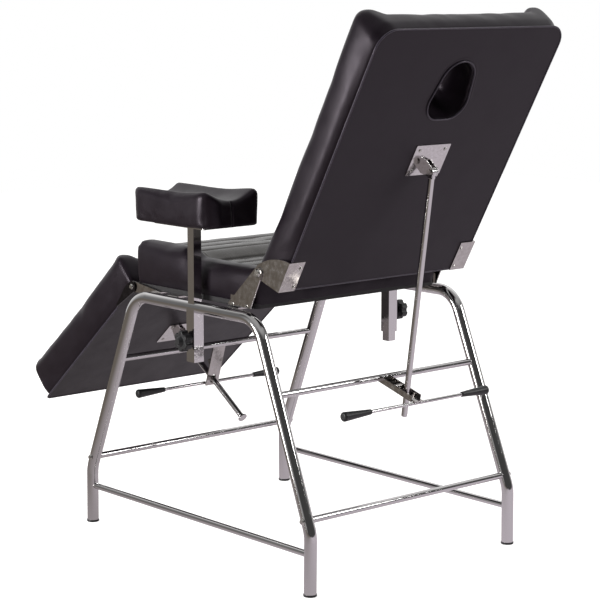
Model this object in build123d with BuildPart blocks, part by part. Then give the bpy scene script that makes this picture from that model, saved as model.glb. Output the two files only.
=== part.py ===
from build123d import *
import os
from math import atan2, cos, degrees, hypot, radians, sin, sqrt

# Tattoo chair: a bent tube frame that carries a seat, a tilting backrest with a face hole,
# a tilting leg rest, two sliding armrests and two rod locks with cross-bar levers.
# Millimetres. +Z is up, the sitter looks along -Y and +X is the sitter's left.
# The origin is on the floor, under the middle of the whole chair.

os.makedirs("parts", exist_ok=True)

# Tube frame
tube_d = 28.0
tube_wall = 1.5
bar_d = 15.0
bar_wall = 1.2
rail_z = 580.0
rail_beside_seat = 21.0
foot_beside_rail = 6.0
foot_y = 402.0
leg_bend_z = 135.6
rail_corner_y = 222.0
rail_bend_r = 70.0
leg_bend_r = 80.0
lower_bar_z = 164.0
middle_bar_z = 420.0
stretcher_z = 91.0
plug_lip = 5.0
plug_lip_over = 1.0
plug_depth = 22.0
plug_round = 1.5
bar_plug = 40.0
bolt_d = 8.0
bolt_head_d = 15.0
bolt_head_h = 4.0
bolt_length = 48.0
bolt_seat = 0.1
head_taper = 35.0

# Clearances: flat sliding gap, gap beside moving plates, round running gap, and overrun of cuts
slide_gap = 0.3
plate_gap = 0.3
run_gap = 0.05
over = 2.0

# Upholstery
half_width = 282.0
edge_r = 24.0
board_t = 12.0
board_inset = 5.0
board_round = 14.0
border = 58.0
channel_slope = 10.0
channel_count = 8
channel_puff = 2.2
channel_groove = 2.5
border_dish_share = 0.85
foot_draw_in = 3.0
foot_draw_in_h = 30.0
hang_share = 0.6

# Seat, heights above the board's underside
seat_z = 594.0
seat_front_y = -259.0
seat_rear_y = 190.0
seat_bolster_h = 113.0
seat_low_h = 92.0
seat_bolster_end_share = 0.38
seat_low_start_share = 0.52
seat_dish = 16.0

# Backrest
back_tilt = 61.0
back_length = 657.0
back_thickness = 97.0
back_corner_r = 45.0
back_pivot_y = 205.0
back_pivot_z = 678.0
back_pivot_depth = 72.0
back_pivot_up = 4.0
face_hole_below_top = 84.0
face_hole_l = 148.0
face_hole_brow_r = 50.0
face_hole_chin_r = 32.0
face_hole_w = 127.0
back_dish = 13.0

# Leg rest
leg_droop = 40.9
leg_length = 507.0
leg_thickness = 104.0
leg_pivot_y = -258.0
leg_pivot_z = 595.0
leg_pivot_gap = 4.0
leg_pivot_drop = 1.5
leg_dish = 14.0

# Hinges
plate_t = 3.0
pivot_d = 10.0
pivot_boss_r = 13.0
pivot_head_d = 19.0
pivot_head_h = 4.0
seat_hinge_foot_front_y = 103.0
seat_hinge_foot_rear_y = 179.0
seat_plate_up = 2.0
seat_plate_lip = 5.0
seat_plate_pad_h = 24.0
seat_plate_screw_in = 14.0
back_hinge_arc_end_depth = 85.0
back_hinge_arc_end_up = 15.0
back_hinge_arc_mid_depth = 42.0
back_hinge_arc_mid_up = 61.0
back_hinge_top_up = 81.0
flange_w = 46.0
flange_low = 4.0
flange_screw_in = 38.3
flange_screw_low = 15.0
flange_screw_high = 64.0
leg_pivot_boss_r = 13.5
leg_hinge_reach = 78.0
leg_hinge_height = 14.0
leg_hinge_top_at = 20.0
leg_flange_start = 10.0
front_hinge_strap_w = 40.0
front_hinge_strap_l = 92.0
strap_setback = 3.0
strap_screw_in = 12.0

# Screws
screw_d = 4.0
screw_head_d = 9.0
screw_head_h = 2.2
screw_length = 11.0
side_screw_length = 24.0

# Seat tabs
tab_w = 40.0
tab_reach = 52.0
tab_front_y = -93.0
tab_rear_y = 122.0
tab_screw_in = 12.0
tab_t = 4.0
tab_round = 4.0
tab_root_share = 0.6

# Rod plates
rod_plate_w = 103.0
rod_plate_h = 77.0
rod_plate_t = 2.5
rod_plate_screw_x = 38.0
rod_plate_screw_u = 26.0
ear_t = 3.0
ear_gap = 10.0
ear_w = 22.0
rod_pivot_off = 25.0
rod_pin_d = 8.0
rod_pin_head_d = 13.0
rod_pin_head_h = 3.0
back_rod_x = -12.0
leg_rod_x = 0.0
back_rod_up = 308.0
back_plate_up = 324.5
leg_rod_up = 250.0
leg_plate_up = 250.0
ear_foot = 34.0
rod_plate_round = 3.0

# Rods
rod_d = 14.0
rod_eye_d = 22.0
rod_eye_t = 9.0
rod_neck = 15.0
back_rod_length = 562.0
leg_rod_length = 288.0
stop_disc_d = 23.0
stop_disc_t = 3.0
rod_tip_round = 3.0

# Rear lock: a channel sloping back and down from the rear middle crossbar
back_lock_slope = 16.5
back_lock_w = 30.0
back_lock_h = 14.0
back_lock_t = 2.0
back_lock_web_drop = 6.0
back_lock_rod_at = 82.3
back_lock_length = 112.0
back_lock_slot_l = 24.0

# Front lock: a plate hanging from the front middle crossbar
leg_lock_lean = 17.6
leg_lock_w = 38.0
leg_lock_t = 3.0
leg_lock_rod_at = 96.0
leg_lock_length = 114.0
leg_lock_slot_l = 25.0
leg_lock_slot_shift = 1.0
leg_ear_t = 2.5
leg_ear_foot = 16.0
leg_lever_pin_off = 6.5

# Release levers
rod_slot_w = 15.4
clamp_t = 3.0
clamp_gap = 0.5
clamp_side_gap = 1.0
clamp_eye_r = 5.5
lever_pin_d = 5.0
lever_pin_at = 50.0
lever_pin_rim = 3.0
lever_pin_cap = 1.2
back_lever_pin_over_web = 6.0
back_clamp_slot_l = 27.0
back_clamp_end = 122.0
leg_clamp_slot_l = 30.0
leg_clamp_slot_up = 3.0
leg_clamp_end = 115.5
lever_bar_d = 8.0
lever_half = 224.0
back_lever_bar_at = 118.0
leg_lever_bar_at = 111.0
grip_l = 82.0
grip_outer_d = 21.5
grip_inner_d = 12.0
grip_end_round = 5.0
grip_bore_l = 55.0
grip_waist_at = 36.0
grip_waist_d = 16.5

# Armrests
socket_wall = 2.5
post_w = 22.0
post_wall = 2.0
socket_y = 1.5
socket_foot_z = 455.0
socket_top_share = 0.3
post_length_left = 310.0
post_length_right = 338.0
knob_z = 506.0
pad_over_seat = 63.0
pad_w = 145.0
pad_l = 290.0
pad_y = -1.5
pad_lobe_h = 78.0
pad_valley_h = 55.0
pad_outer_corner_r = 28.0
pad_inner_corner_r = 8.0
pad_top_r = 12.0
pad_valley_share = 0.6
pad_foot_in = 7.0
support_w = 90.0
support_l = 180.0
support_t = 4.0
support_screw_x = 30.0
support_screw_y = 75.0

# Knobs
weld_nut_d = 15.0
weld_nut_h = 6.5
stud_d = 8.0
knob_d = 48.0
knob_body_l = 18.0
knob_dome_l = 8.0
knob_hub_d = 18.0
knob_hub_l = 4.0
knob_gap = 0.8
knob_lobes = 6
knob_scoop_d = 15.0
knob_scoop_out_share = 0.2
knob_dome_share = 0.7
knob_round = 3.0
stud_in_knob = 12.0

# Values worked out from the sizes above
tube_r = tube_d / 2
bar_r = bar_d / 2
rail_x = half_width + rail_beside_seat
foot_x = rail_x + foot_beside_rail
leg_slope = (foot_y - rail_corner_y) / (rail_z - leg_bend_z)
splay = degrees(atan2(foot_x - rail_x, rail_z))
back_c = cos(radians(back_tilt))
back_s = sin(radians(back_tilt))
leg_c = cos(radians(leg_droop))
leg_s = sin(radians(leg_droop))
back_corner_y = back_pivot_y - back_pivot_up * back_c + back_pivot_depth * back_s
back_corner_z = back_pivot_z - back_pivot_up * back_s - back_pivot_depth * back_c
leg_corner_y = leg_pivot_y - leg_pivot_gap * leg_c - leg_pivot_drop * leg_s
leg_corner_z = leg_pivot_z - leg_pivot_gap * leg_s + leg_pivot_drop * leg_c
reach_rear = back_corner_y + back_length * back_c
reach_front = (leg_corner_y - (leg_length - edge_r) * leg_c - (leg_thickness - edge_r) * leg_s
               - edge_r)
frame_y = -(reach_rear + reach_front) / 2
post_r = post_w / 2
socket_in = post_r + slide_gap
socket_out = socket_in + socket_wall
seat_length = seat_rear_y - seat_front_y
inner_plate_x = half_width + plate_gap
outer_plate_x = inner_plate_x + plate_t + plate_gap
flange_screw_x = inner_plate_x + plate_t - flange_screw_in
face_hole_brow_up = back_length - face_hole_below_top - face_hole_brow_r
face_hole_chin_up = back_length - face_hole_below_top - face_hole_l + face_hole_chin_r
face_hole_chin_x = face_hole_w / 2 - face_hole_chin_r
pad_z = seat_z + seat_bolster_h + pad_over_seat


def leg_y(z):
    """Distance of a leg's centre line from the middle of the frame, at a height."""
    return foot_y - leg_slope * max(z - leg_bend_z, 0)


def leg_x(z):
    """Distance of a leg's centre line from the middle of the chair, at a height."""
    return rail_x + (foot_x - rail_x) * (1 - z / rail_z)


def side(x):
    """A plane across the chair at x, with local axes along Y and Z."""
    return Plane(origin=(x, frame_y, 0), x_dir=(0, 1, 0), z_dir=(1, 0, 0))


def level(z):
    """A level plane at z, with local axes along X and Y."""
    return Plane(origin=(0, frame_y, z), x_dir=(1, 0, 0), z_dir=(0, 0, 1))


def across(y):
    """An upright plane at y, with local axes along X and Z, looking to the front."""
    return Plane(origin=(0, frame_y + y, 0), x_dir=(1, 0, 0), z_dir=(0, -1, 0))


def back_side(x):
    """A plane across the backrest at x: local axes up the rear face and into the pad."""
    return Plane(origin=(x, frame_y + back_corner_y, back_corner_z),
                 x_dir=(0, back_c, back_s), z_dir=(1, 0, 0))


def back_face(depth):
    """A plane parallel to the backrest's rear face: local axes along X and up the face."""
    return Plane(origin=(0, frame_y + back_corner_y - depth * back_s,
                         back_corner_z + depth * back_c),
                 x_dir=(-1, 0, 0), z_dir=(0, back_s, -back_c))


def leg_side(x):
    """A plane across the leg rest at x: local axes out along the underside and into the pad."""
    return Plane(origin=(x, frame_y + leg_corner_y, leg_corner_z),
                 x_dir=(0, -leg_c, -leg_s), z_dir=(-1, 0, 0))


def leg_face(depth):
    """A plane parallel to the leg rest's underside: local axes along X and out along it."""
    return Plane(origin=(0, frame_y + leg_corner_y - depth * leg_s,
                         leg_corner_z + depth * leg_c),
                 x_dir=(1, 0, 0), z_dir=(0, leg_s, -leg_c))


def back_point(up, depth):
    """Y and Z, from the frame's middle, of a point on the backrest."""
    return (back_corner_y + up * back_c - depth * back_s, back_corner_z + up * back_s + depth * back_c)


def leg_point(out, depth):
    """Y and Z, from the frame's middle, of a point on the leg rest."""
    return (leg_corner_y - out * leg_c - depth * leg_s, leg_corner_z - out * leg_s + depth * leg_c)


def finish(piece, name):
    """Label a finished piece and write it."""
    piece.part.label = name
    export_step(piece.part, f"parts/{name}.step")


def rounds(plane, spots, diameter, length, mode=Mode.ADD):
    """Round bars, or bores where mode subtracts, that start on a plane at each spot."""
    with BuildSketch(plane) as discs:
        with Locations(*spots):
            Circle(diameter / 2)
    extrude(discs.sketch, amount=length, mode=mode)


def block(plane, spot, width, height, length, mode=Mode.ADD):
    """A box, or a square cut, that starts on a plane and is centred on a spot."""
    with BuildSketch(plane) as outline:
        with Locations(spot):
            Rectangle(width, height)
    extrude(outline.sketch, amount=length, mode=mode)


def hull_plate(plane, centre, radius, points, thickness, mode=Mode.ADD):
    """A plate whose outline wraps a round boss and a chain of straight edges."""
    with BuildSketch(plane) as outline:
        with BuildLine():
            Polyline(*points)
            CenterArc(centre, radius, 0, 360)
        make_hull()
    extrude(outline.sketch, amount=thickness, mode=mode)


def screws(plane, spots, length=screw_length):
    """Dome-head screws whose shanks run into the plane."""
    with BuildSketch(plane) as heads:
        with Locations(*spots):
            Circle(screw_head_d / 2)
    extrude(heads.sketch, amount=screw_head_h, taper=head_taper)
    rounds(plane, spots, screw_d, -length)


def screw_holes(plane, spots, length=screw_length):
    """Holes for the shanks of those screws."""
    rounds(plane, spots, screw_d, -length, Mode.SUBTRACT)


# Standing frame

frame_planes = {}
rails = {}
for sign, hand in ((1, "left"), (-1, "right")):
    frame_planes[hand] = Plane(origin=(sign * rail_x, frame_y, rail_z), x_dir=(0, 1, 0),
                               z_dir=(cos(radians(splay)), 0, sign * sin(radians(splay))))
    foot_drop = -rail_z / cos(radians(splay))
    bend_drop = (leg_bend_z - rail_z) / cos(radians(splay))
    route_points = [(-foot_y, foot_drop), (-foot_y, bend_drop), (-rail_corner_y, 0),
                    (rail_corner_y, 0), (foot_y, bend_drop), (foot_y, foot_drop)]

    # The filled tube is the shape that the other tubes are coped to
    with BuildPart() as filled_tube:
        with BuildLine(frame_planes[hand]) as route:
            FilletPolyline(route_points, radius=[leg_bend_r, rail_bend_r, rail_bend_r, leg_bend_r])
        with BuildSketch(Plane(origin=route.line @ 0, z_dir=route.line % 0)):
            Circle(tube_r)
        sweep(path=route.line)
    rails[hand] = filled_tube.part

    with BuildPart() as side_frame:
        with BuildLine(frame_planes[hand]) as route:
            FilletPolyline(route_points, radius=[leg_bend_r, rail_bend_r, rail_bend_r, leg_bend_r])
        with BuildSketch(Plane(origin=route.line @ 0, z_dir=route.line % 0)):
            Circle(tube_r)
            Circle(tube_r - tube_wall, mode=Mode.SUBTRACT)
        sweep(path=route.line)
        split(bisect_by=level(plug_lip), keep=Keep.TOP)
        block(level(rail_z - tube_d), (sign * rail_x, socket_y), 2 * socket_in, 2 * socket_in,
              2 * tube_d, Mode.SUBTRACT)
        for way in (-1, 1):
            rounds(side(sign * (leg_x(lower_bar_z) - tube_d)),
                   [(way * leg_y(lower_bar_z), lower_bar_z)],
                   bolt_d, sign * 2 * tube_d, Mode.SUBTRACT)
    finish(side_frame, f"side_frame_{hand}")

    with BuildPart() as stretcher:
        with BuildSketch(across(foot_y)):
            with Locations((sign * leg_x(stretcher_z), stretcher_z)):
                Circle(bar_r)
                Circle(bar_r - bar_wall, mode=Mode.SUBTRACT)
        extrude(amount=2 * foot_y)
        add(rails[hand], mode=Mode.SUBTRACT)
    finish(stretcher, f"side_stretcher_{hand}")

    with BuildPart() as socket:
        with BuildSketch(level(socket_foot_z)):
            with Locations((sign * rail_x, socket_y)):
                Rectangle(2 * socket_out, 2 * socket_out)
                Rectangle(2 * socket_in, 2 * socket_in, mode=Mode.SUBTRACT)
        extrude(amount=rail_z - socket_top_share * tube_r - socket_foot_z)
        rounds(side(sign * (rail_x + socket_out)), [(socket_y, knob_z)], weld_nut_d,
               sign * weld_nut_h)
        rounds(side(sign * (rail_x + socket_in - over)), [(socket_y, knob_z)],
               stud_d + 2 * run_gap, sign * (socket_wall + weld_nut_h + 2 * over), Mode.SUBTRACT)
        add(rails[hand], mode=Mode.SUBTRACT)
    finish(socket, f"armrest_socket_{hand}")

for end, way in (("front", -1), ("rear", 1)):
    with BuildPart() as lower_bar:
        rounds(side(-leg_x(lower_bar_z)), [(way * leg_y(lower_bar_z), lower_bar_z)], bar_d,
               2 * leg_x(lower_bar_z))
        rounds(side(-leg_x(lower_bar_z) + bar_plug), [(way * leg_y(lower_bar_z), lower_bar_z)],
               bar_d - 2 * bar_wall, 2 * leg_x(lower_bar_z) - 2 * bar_plug, Mode.SUBTRACT)
        rounds(side(-leg_x(lower_bar_z) - over), [(way * leg_y(lower_bar_z), lower_bar_z)],
               bolt_d, 2 * leg_x(lower_bar_z) + 2 * over, Mode.SUBTRACT)
        add(rails["left"], mode=Mode.SUBTRACT)
        add(rails["right"], mode=Mode.SUBTRACT)
    finish(lower_bar, f"{end}_lower_crossbar")

    with BuildPart() as middle_bar:
        rounds(side(-leg_x(middle_bar_z)), [(way * leg_y(middle_bar_z), middle_bar_z)], bar_d,
               2 * leg_x(middle_bar_z))
        rounds(side(-leg_x(middle_bar_z) - over), [(way * leg_y(middle_bar_z), middle_bar_z)],
               bar_d - 2 * bar_wall, 2 * leg_x(middle_bar_z) + 2 * over, Mode.SUBTRACT)
        add(rails["left"], mode=Mode.SUBTRACT)
        add(rails["right"], mode=Mode.SUBTRACT)
    finish(middle_bar, f"{end}_middle_crossbar")

with BuildPart() as crossbar_bolts:
    for sign in (1, -1):
        for way in (-1, 1):
            bolt_face = sign * (leg_x(lower_bar_z) + tube_r + bolt_seat)
            bolt_spot = (way * leg_y(lower_bar_z), lower_bar_z)
            with BuildSketch(side(bolt_face)) as bolt_head:
                with Locations(bolt_spot):
                    Circle(bolt_head_d / 2)
            extrude(bolt_head.sketch, amount=sign * bolt_head_h, taper=head_taper)
            rounds(side(bolt_face), [bolt_spot], bolt_d, -sign * bolt_length)
finish(crossbar_bolts, "crossbar_bolts")

foot_spots = [(sx * foot_x, sy * foot_y) for sx in (1, -1) for sy in (1, -1)]
with BuildPart() as foot_plugs:
    rounds(level(0), foot_spots, tube_d + 2 * plug_lip_over, plug_lip)
    fillet(foot_plugs.edges().group_by(Axis.Z)[0], plug_round)
    rounds(level(plug_lip), foot_spots, tube_d - 2 * tube_wall - 2 * slide_gap, plug_depth)
finish(foot_plugs, "foot_plugs")

# Seat tabs and their screws

tab_root_x = rail_x - tab_root_share * tube_r
tab_tip_x = tab_root_x - tab_reach
tab_screw_spots = [(sign * (tab_tip_x + tab_screw_in), y)
                   for sign in (1, -1) for y in (tab_front_y, tab_rear_y)]
with BuildPart() as seat_tabs:
    for sign in (1, -1):
        with BuildSketch(level(seat_z - tab_t)) as tab_outline:
            with Locations((sign * (tab_tip_x + tab_root_x) / 2, tab_front_y),
                           (sign * (tab_tip_x + tab_root_x) / 2, tab_rear_y)):
                RectangleRounded(tab_reach, tab_w, tab_round)
        extrude(tab_outline.sketch, amount=tab_t)
    add(rails["left"], mode=Mode.SUBTRACT)
    add(rails["right"], mode=Mode.SUBTRACT)
    rounds(level(seat_z - tab_t - over), tab_screw_spots, screw_d, tab_t + 2 * over, Mode.SUBTRACT)
finish(seat_tabs, "seat_tabs")

under_tabs = Plane(origin=(0, frame_y, seat_z - tab_t), x_dir=(1, 0, 0), z_dir=(0, 0, -1))
tab_screw_spots_below = [(x, -y) for x, y in tab_screw_spots]
with BuildPart() as seat_tab_screws:
    screws(under_tabs, tab_screw_spots_below)
finish(seat_tab_screws, "seat_tab_screws")

# Plates of the hinges on the seat's sides

seat_screw_z = seat_z + board_t / 2
seat_plate_low = seat_z + seat_plate_up
seat_screw_spots = [(seat_hinge_foot_front_y + seat_plate_screw_in, seat_screw_z),
                    (seat_hinge_foot_rear_y - seat_plate_screw_in, seat_screw_z)]
strap_front_y = leg_pivot_y + leg_pivot_boss_r + strap_setback
strap_rear_y = strap_front_y + front_hinge_strap_l
strap_in_x = inner_plate_x + plate_t - front_hinge_strap_w
strap_screw_x = strap_in_x + strap_screw_in
for sign, hand in ((1, "left"), (-1, "right")):
    with BuildPart() as seat_plate:
        hull_plate(side(sign * outer_plate_x), (back_pivot_y, back_pivot_z), pivot_boss_r,
                   [(seat_hinge_foot_front_y, seat_plate_low + seat_plate_lip),
                    (seat_hinge_foot_front_y, seat_plate_low),
                    (seat_hinge_foot_rear_y, seat_plate_low)], sign * plate_t)
        with BuildSketch(side(sign * half_width)) as pad_outline:
            with Locations(((seat_hinge_foot_front_y + seat_hinge_foot_rear_y) / 2,
                            seat_plate_low + seat_plate_pad_h / 2)):
                Rectangle(seat_hinge_foot_rear_y - seat_hinge_foot_front_y - 2 * seat_plate_lip,
                          seat_plate_pad_h)
        extrude(pad_outline.sketch, amount=sign * (outer_plate_x - half_width))
        rounds(side(sign * (outer_plate_x - over)), [(back_pivot_y, back_pivot_z)],
               pivot_d + 2 * run_gap, sign * (plate_t + 2 * over), Mode.SUBTRACT)
        rounds(side(sign * (half_width - over)), seat_screw_spots, screw_d,
               sign * (outer_plate_x + plate_t - half_width + 2 * over), Mode.SUBTRACT)
    finish(seat_plate, f"seat_hinge_plate_{hand}")

    with BuildPart() as front_plate:
        hull_plate(side(sign * inner_plate_x), (leg_pivot_y, leg_pivot_z), leg_pivot_boss_r,
                   [(strap_front_y, seat_z - plate_t), (strap_rear_y, seat_z - plate_t),
                    (strap_rear_y, seat_z)], sign * plate_t)
        block(level(seat_z - plate_t),
              (sign * (strap_in_x + inner_plate_x + plate_t) / 2,
               (strap_front_y + strap_rear_y) / 2),
              front_hinge_strap_w, front_hinge_strap_l, plate_t)
        rounds(side(sign * (inner_plate_x - over)), [(leg_pivot_y, leg_pivot_z)],
               rod_pin_d + 2 * run_gap, sign * (plate_t + 2 * over), Mode.SUBTRACT)
        rounds(level(seat_z - plate_t - over),
               [(sign * strap_screw_x, strap_front_y + strap_screw_in),
                (sign * strap_screw_x, strap_rear_y - strap_screw_in)],
               screw_d, plate_t + 2 * over, Mode.SUBTRACT)
    finish(front_plate, f"front_hinge_plate_{hand}")

seat_plate_faces = [(side(outer_plate_x + plate_t), seat_screw_spots, side_screw_length),
                    (Plane(origin=(-outer_plate_x - plate_t, frame_y, 0), x_dir=(0, 1, 0),
                           z_dir=(-1, 0, 0)),
                     [(y, -z) for y, z in seat_screw_spots], side_screw_length),
                    (Plane(origin=(0, frame_y, seat_z - plate_t), x_dir=(1, 0, 0),
                           z_dir=(0, 0, -1)),
                     [(sign * strap_screw_x, -y) for sign in (1, -1)
                      for y in (strap_front_y + strap_screw_in, strap_rear_y - strap_screw_in)],
                     screw_length)]
with BuildPart() as seat_plate_screws:
    for face_plane, spots, length in seat_plate_faces:
        screws(face_plane, spots, length)
finish(seat_plate_screws, "seat_plate_screws")

# Seat

with BuildPart() as seat_board:
    with BuildSketch(level(seat_z)):
        with Locations((0, (seat_front_y + seat_rear_y) / 2)):
            RectangleRounded(2 * (half_width - board_inset), seat_length - 2 * board_inset,
                             board_round)
    extrude(amount=board_t)
board_blank = seat_board.part
with BuildPart() as seat_board:
    add(board_blank)
    screw_holes(under_tabs, tab_screw_spots_below)
    for face_plane, spots, length in seat_plate_faces:
        screw_holes(face_plane, spots, length)
finish(seat_board, "seat_board")


def drawn_in(radius, inward):
    """How far a round corner has drawn back, that far in from the side it rounds into."""
    return radius - sqrt(radius**2 - max(radius - inward, 0)**2)


def pad_section(plane, length, heights, short, far_short, groove, hang):
    """One closed section of a pad, from its start end to its far end, with sewn channels."""
    first = short + edge_r
    last = length - far_short - edge_r
    pitch = (length - 2 * edge_r) / channel_count
    knots = [(first, heights[0] - short)]
    for i in range(1, channel_count):
        knots.append((edge_r + i * pitch, heights[i] - short - groove))
    knots.append((last, heights[channel_count] - short))
    slant = edge_r * sqrt(0.5)
    draw = foot_draw_in + short
    far_draw = foot_draw_in + far_short
    with BuildSketch(plane) as section:
        with BuildLine():
            Line((draw, hang), (short, foot_draw_in_h))
            Line((short, foot_draw_in_h), (short, knots[0][1] - edge_r))
            ThreePointArc((short, knots[0][1] - edge_r),
                          (first - slant, knots[0][1] - edge_r + slant), knots[0])
            for start, stop in zip(knots, knots[1:]):
                middle = ((start[0] + stop[0]) / 2, (start[1] + stop[1]) / 2 + channel_puff + groove)
                ThreePointArc(start, middle, stop)
            ThreePointArc(knots[-1], (last + slant, knots[-1][1] - edge_r + slant),
                          (length - far_short, knots[-1][1] - edge_r))
            Line((length - far_short, knots[-1][1] - edge_r), (length - far_short, foot_draw_in_h))
            Line((length - far_short, foot_draw_in_h), (length - far_draw, hang))
            Line((length - far_draw, hang), (draw, hang))
        make_face()
    return section.sketch.face()


def pad_sections(place, length, heights, dish, far_corner_r=edge_r):
    """Sections of a pad from one side to the other: rounded edge, plain border, channels."""
    steps = sorted({radius * (1 - cos(radians(turn))) for radius in (edge_r, far_corner_r)
                    for turn in (0, 30, 60, 90)})
    half = []
    for inward in steps:
        hang = 0 if inward else foot_draw_in_h * hang_share
        half.append((half_width - inward, drawn_in(edge_r, inward), drawn_in(far_corner_r, inward),
                     0, 0, hang))
    half.append((half_width - border, 0, 0, dish * border_dish_share, 0, 0))
    half.append((half_width - border - channel_slope, 0, 0, dish * border_dish_share,
                 channel_groove, 0))
    half.append((0, 0, 0, dish, channel_groove, 0))
    faces = []
    for x, short, far_short, sink, groove, hang in half + [(-row[0], *row[1:]) for row in half[-2::-1]]:
        lowered = [height - sink for height in heights]
        faces.append(pad_section(place(x), length, lowered, short, far_short, groove, hang))
    return faces


def seat_height(share):
    """Height of the seat's top above its underside, by the share of its length from the front."""
    if share <= seat_bolster_end_share:
        return seat_bolster_h
    fall = (share - seat_bolster_end_share) / (seat_low_start_share - seat_bolster_end_share)
    return seat_bolster_h - (seat_bolster_h - seat_low_h) * min(fall, 1)


def seat_side(x):
    """A plane across the seat at x, with its corner at the front of the board's underside."""
    return Plane(origin=(x, frame_y + seat_front_y, seat_z), x_dir=(0, 1, 0), z_dir=(1, 0, 0))


seat_heights = [seat_height(i / channel_count) for i in range(channel_count + 1)]
with BuildPart() as seat_cushion:
    loft(pad_sections(seat_side, seat_length, seat_heights, seat_dish), ruled=True)
    add(board_blank, mode=Mode.SUBTRACT)
    for face_plane, spots, length in seat_plate_faces:
        screw_holes(face_plane, spots, length)
finish(seat_cushion, "seat_cushion")

# Backrest

back_plate_spots = [(sx * rod_plate_screw_x - back_rod_x, back_plate_up + su * rod_plate_screw_u)
                    for sx in (1, -1) for su in (1, -1)]
back_flange_spots = [(sign * flange_screw_x, up) for sign in (1, -1)
                     for up in (flange_screw_low, flange_screw_high)]
with BuildSketch(back_face(board_t)) as face_hole:
    with BuildLine():
        CenterArc((0, face_hole_brow_up), face_hole_brow_r, 0, 360)
        CenterArc((face_hole_chin_x, face_hole_chin_up), face_hole_chin_r, 0, 360)
        CenterArc((-face_hole_chin_x, face_hole_chin_up), face_hole_chin_r, 0, 360)
    make_hull()
with BuildPart() as back_board:
    with BuildSketch(back_face(board_t)):
        with Locations((0, back_length / 2)):
            RectangleRounded(2 * (half_width - board_inset), back_length - 2 * board_inset,
                             back_corner_r - board_inset)
    extrude(amount=board_t)
    extrude(face_hole.sketch, amount=board_t, mode=Mode.SUBTRACT)
back_blank = back_board.part
with BuildPart() as back_board:
    add(back_blank)
    screw_holes(back_face(-rod_plate_t), back_plate_spots)
    screw_holes(back_face(-plate_t), back_flange_spots)
finish(back_board, "back_board")

back_heights = [back_thickness] * (channel_count + 1)
with BuildPart() as back_cushion:
    loft(pad_sections(back_side, back_length, back_heights, back_dish, back_corner_r), ruled=True)
    extrude(face_hole.sketch, amount=back_thickness, both=True, mode=Mode.SUBTRACT)
    add(back_blank, mode=Mode.SUBTRACT)
finish(back_cushion, "back_cushion")

for sign, hand in ((1, "left"), (-1, "right")):
    with BuildPart() as back_plate:
        with BuildSketch(back_side(sign * inner_plate_x)) as cheek:
            with BuildLine():
                Polyline((flange_low, 0), (flange_low, -plate_t), (back_hinge_top_up, -plate_t),
                         (back_hinge_top_up, 0))
                ThreePointArc((back_hinge_top_up, 0),
                              (back_hinge_arc_mid_up, back_hinge_arc_mid_depth),
                              (back_hinge_arc_end_up, back_hinge_arc_end_depth))
                CenterArc((back_pivot_up, back_pivot_depth), pivot_boss_r, 0, 360)
            make_hull()
        extrude(cheek.sketch, amount=sign * plate_t)
        with BuildSketch(back_face(0)) as flange:
            with Locations((-sign * (inner_plate_x + plate_t - flange_w / 2),
                            (flange_low + back_hinge_top_up) / 2)):
                Rectangle(flange_w, back_hinge_top_up - flange_low)
        extrude(flange.sketch, amount=plate_t)
        rounds(back_side(sign * (inner_plate_x - over)), [(back_pivot_up, back_pivot_depth)],
               pivot_d, sign * (plate_t + 2 * over), Mode.SUBTRACT)
        screw_holes(back_face(-plate_t - over), [(-sign * flange_screw_x, up)
                                                 for up in (flange_screw_low, flange_screw_high)])
    finish(back_plate, f"back_hinge_plate_{hand}")

with BuildPart() as back_hinge_pins:
    for sign in (1, -1):
        rounds(side(sign * inner_plate_x), [(back_pivot_y, back_pivot_z)], pivot_d,
               sign * (outer_plate_x + plate_t + plate_gap - inner_plate_x))
        with BuildSketch(side(sign * (outer_plate_x + plate_t + plate_gap))) as pivot_head:
            with Locations((back_pivot_y, back_pivot_z)):
                Circle(pivot_head_d / 2)
        extrude(pivot_head.sketch, amount=sign * pivot_head_h, taper=head_taper)
finish(back_hinge_pins, "back_hinge_pins")


def rod_plate(face, side_plane, x_sign, rod_x, plate_up, rod_up, spots):
    """The screwed plate of a rod's pivot, with its two ears."""
    with BuildSketch(face(0)) as base:
        with Locations((x_sign * rod_x, plate_up)):
            RectangleRounded(rod_plate_w, rod_plate_h, rod_plate_round)
    extrude(base.sketch, amount=rod_plate_t)
    facing = side_plane(0).z_dir.X
    for ear_side in (1, -1):
        near = rod_x + ear_side * ear_gap / 2
        hull_plate(side_plane(near), (rod_up, -rod_pivot_off), ear_w / 2,
                   [(rod_up - ear_foot / 2, -rod_plate_t), (rod_up + ear_foot / 2, -rod_plate_t)],
                   ear_side * facing * ear_t)
        rounds(side_plane(near - ear_side * over), [(rod_up, -rod_pivot_off)],
               rod_pin_d + 2 * run_gap, ear_side * facing * (ear_t + 2 * over), Mode.SUBTRACT)
    screw_holes(face(-rod_plate_t - over), spots)


with BuildPart() as back_rod_plate:
    rod_plate(back_face, back_side, -1, back_rod_x, back_plate_up, back_rod_up, back_plate_spots)
finish(back_rod_plate, "back_rod_plate")

with BuildPart() as back_plate_screws:
    screws(back_face(-rod_plate_t), back_plate_spots)
    screws(back_face(-plate_t), back_flange_spots)
finish(back_plate_screws, "back_plate_screws")

# Leg rest

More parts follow.
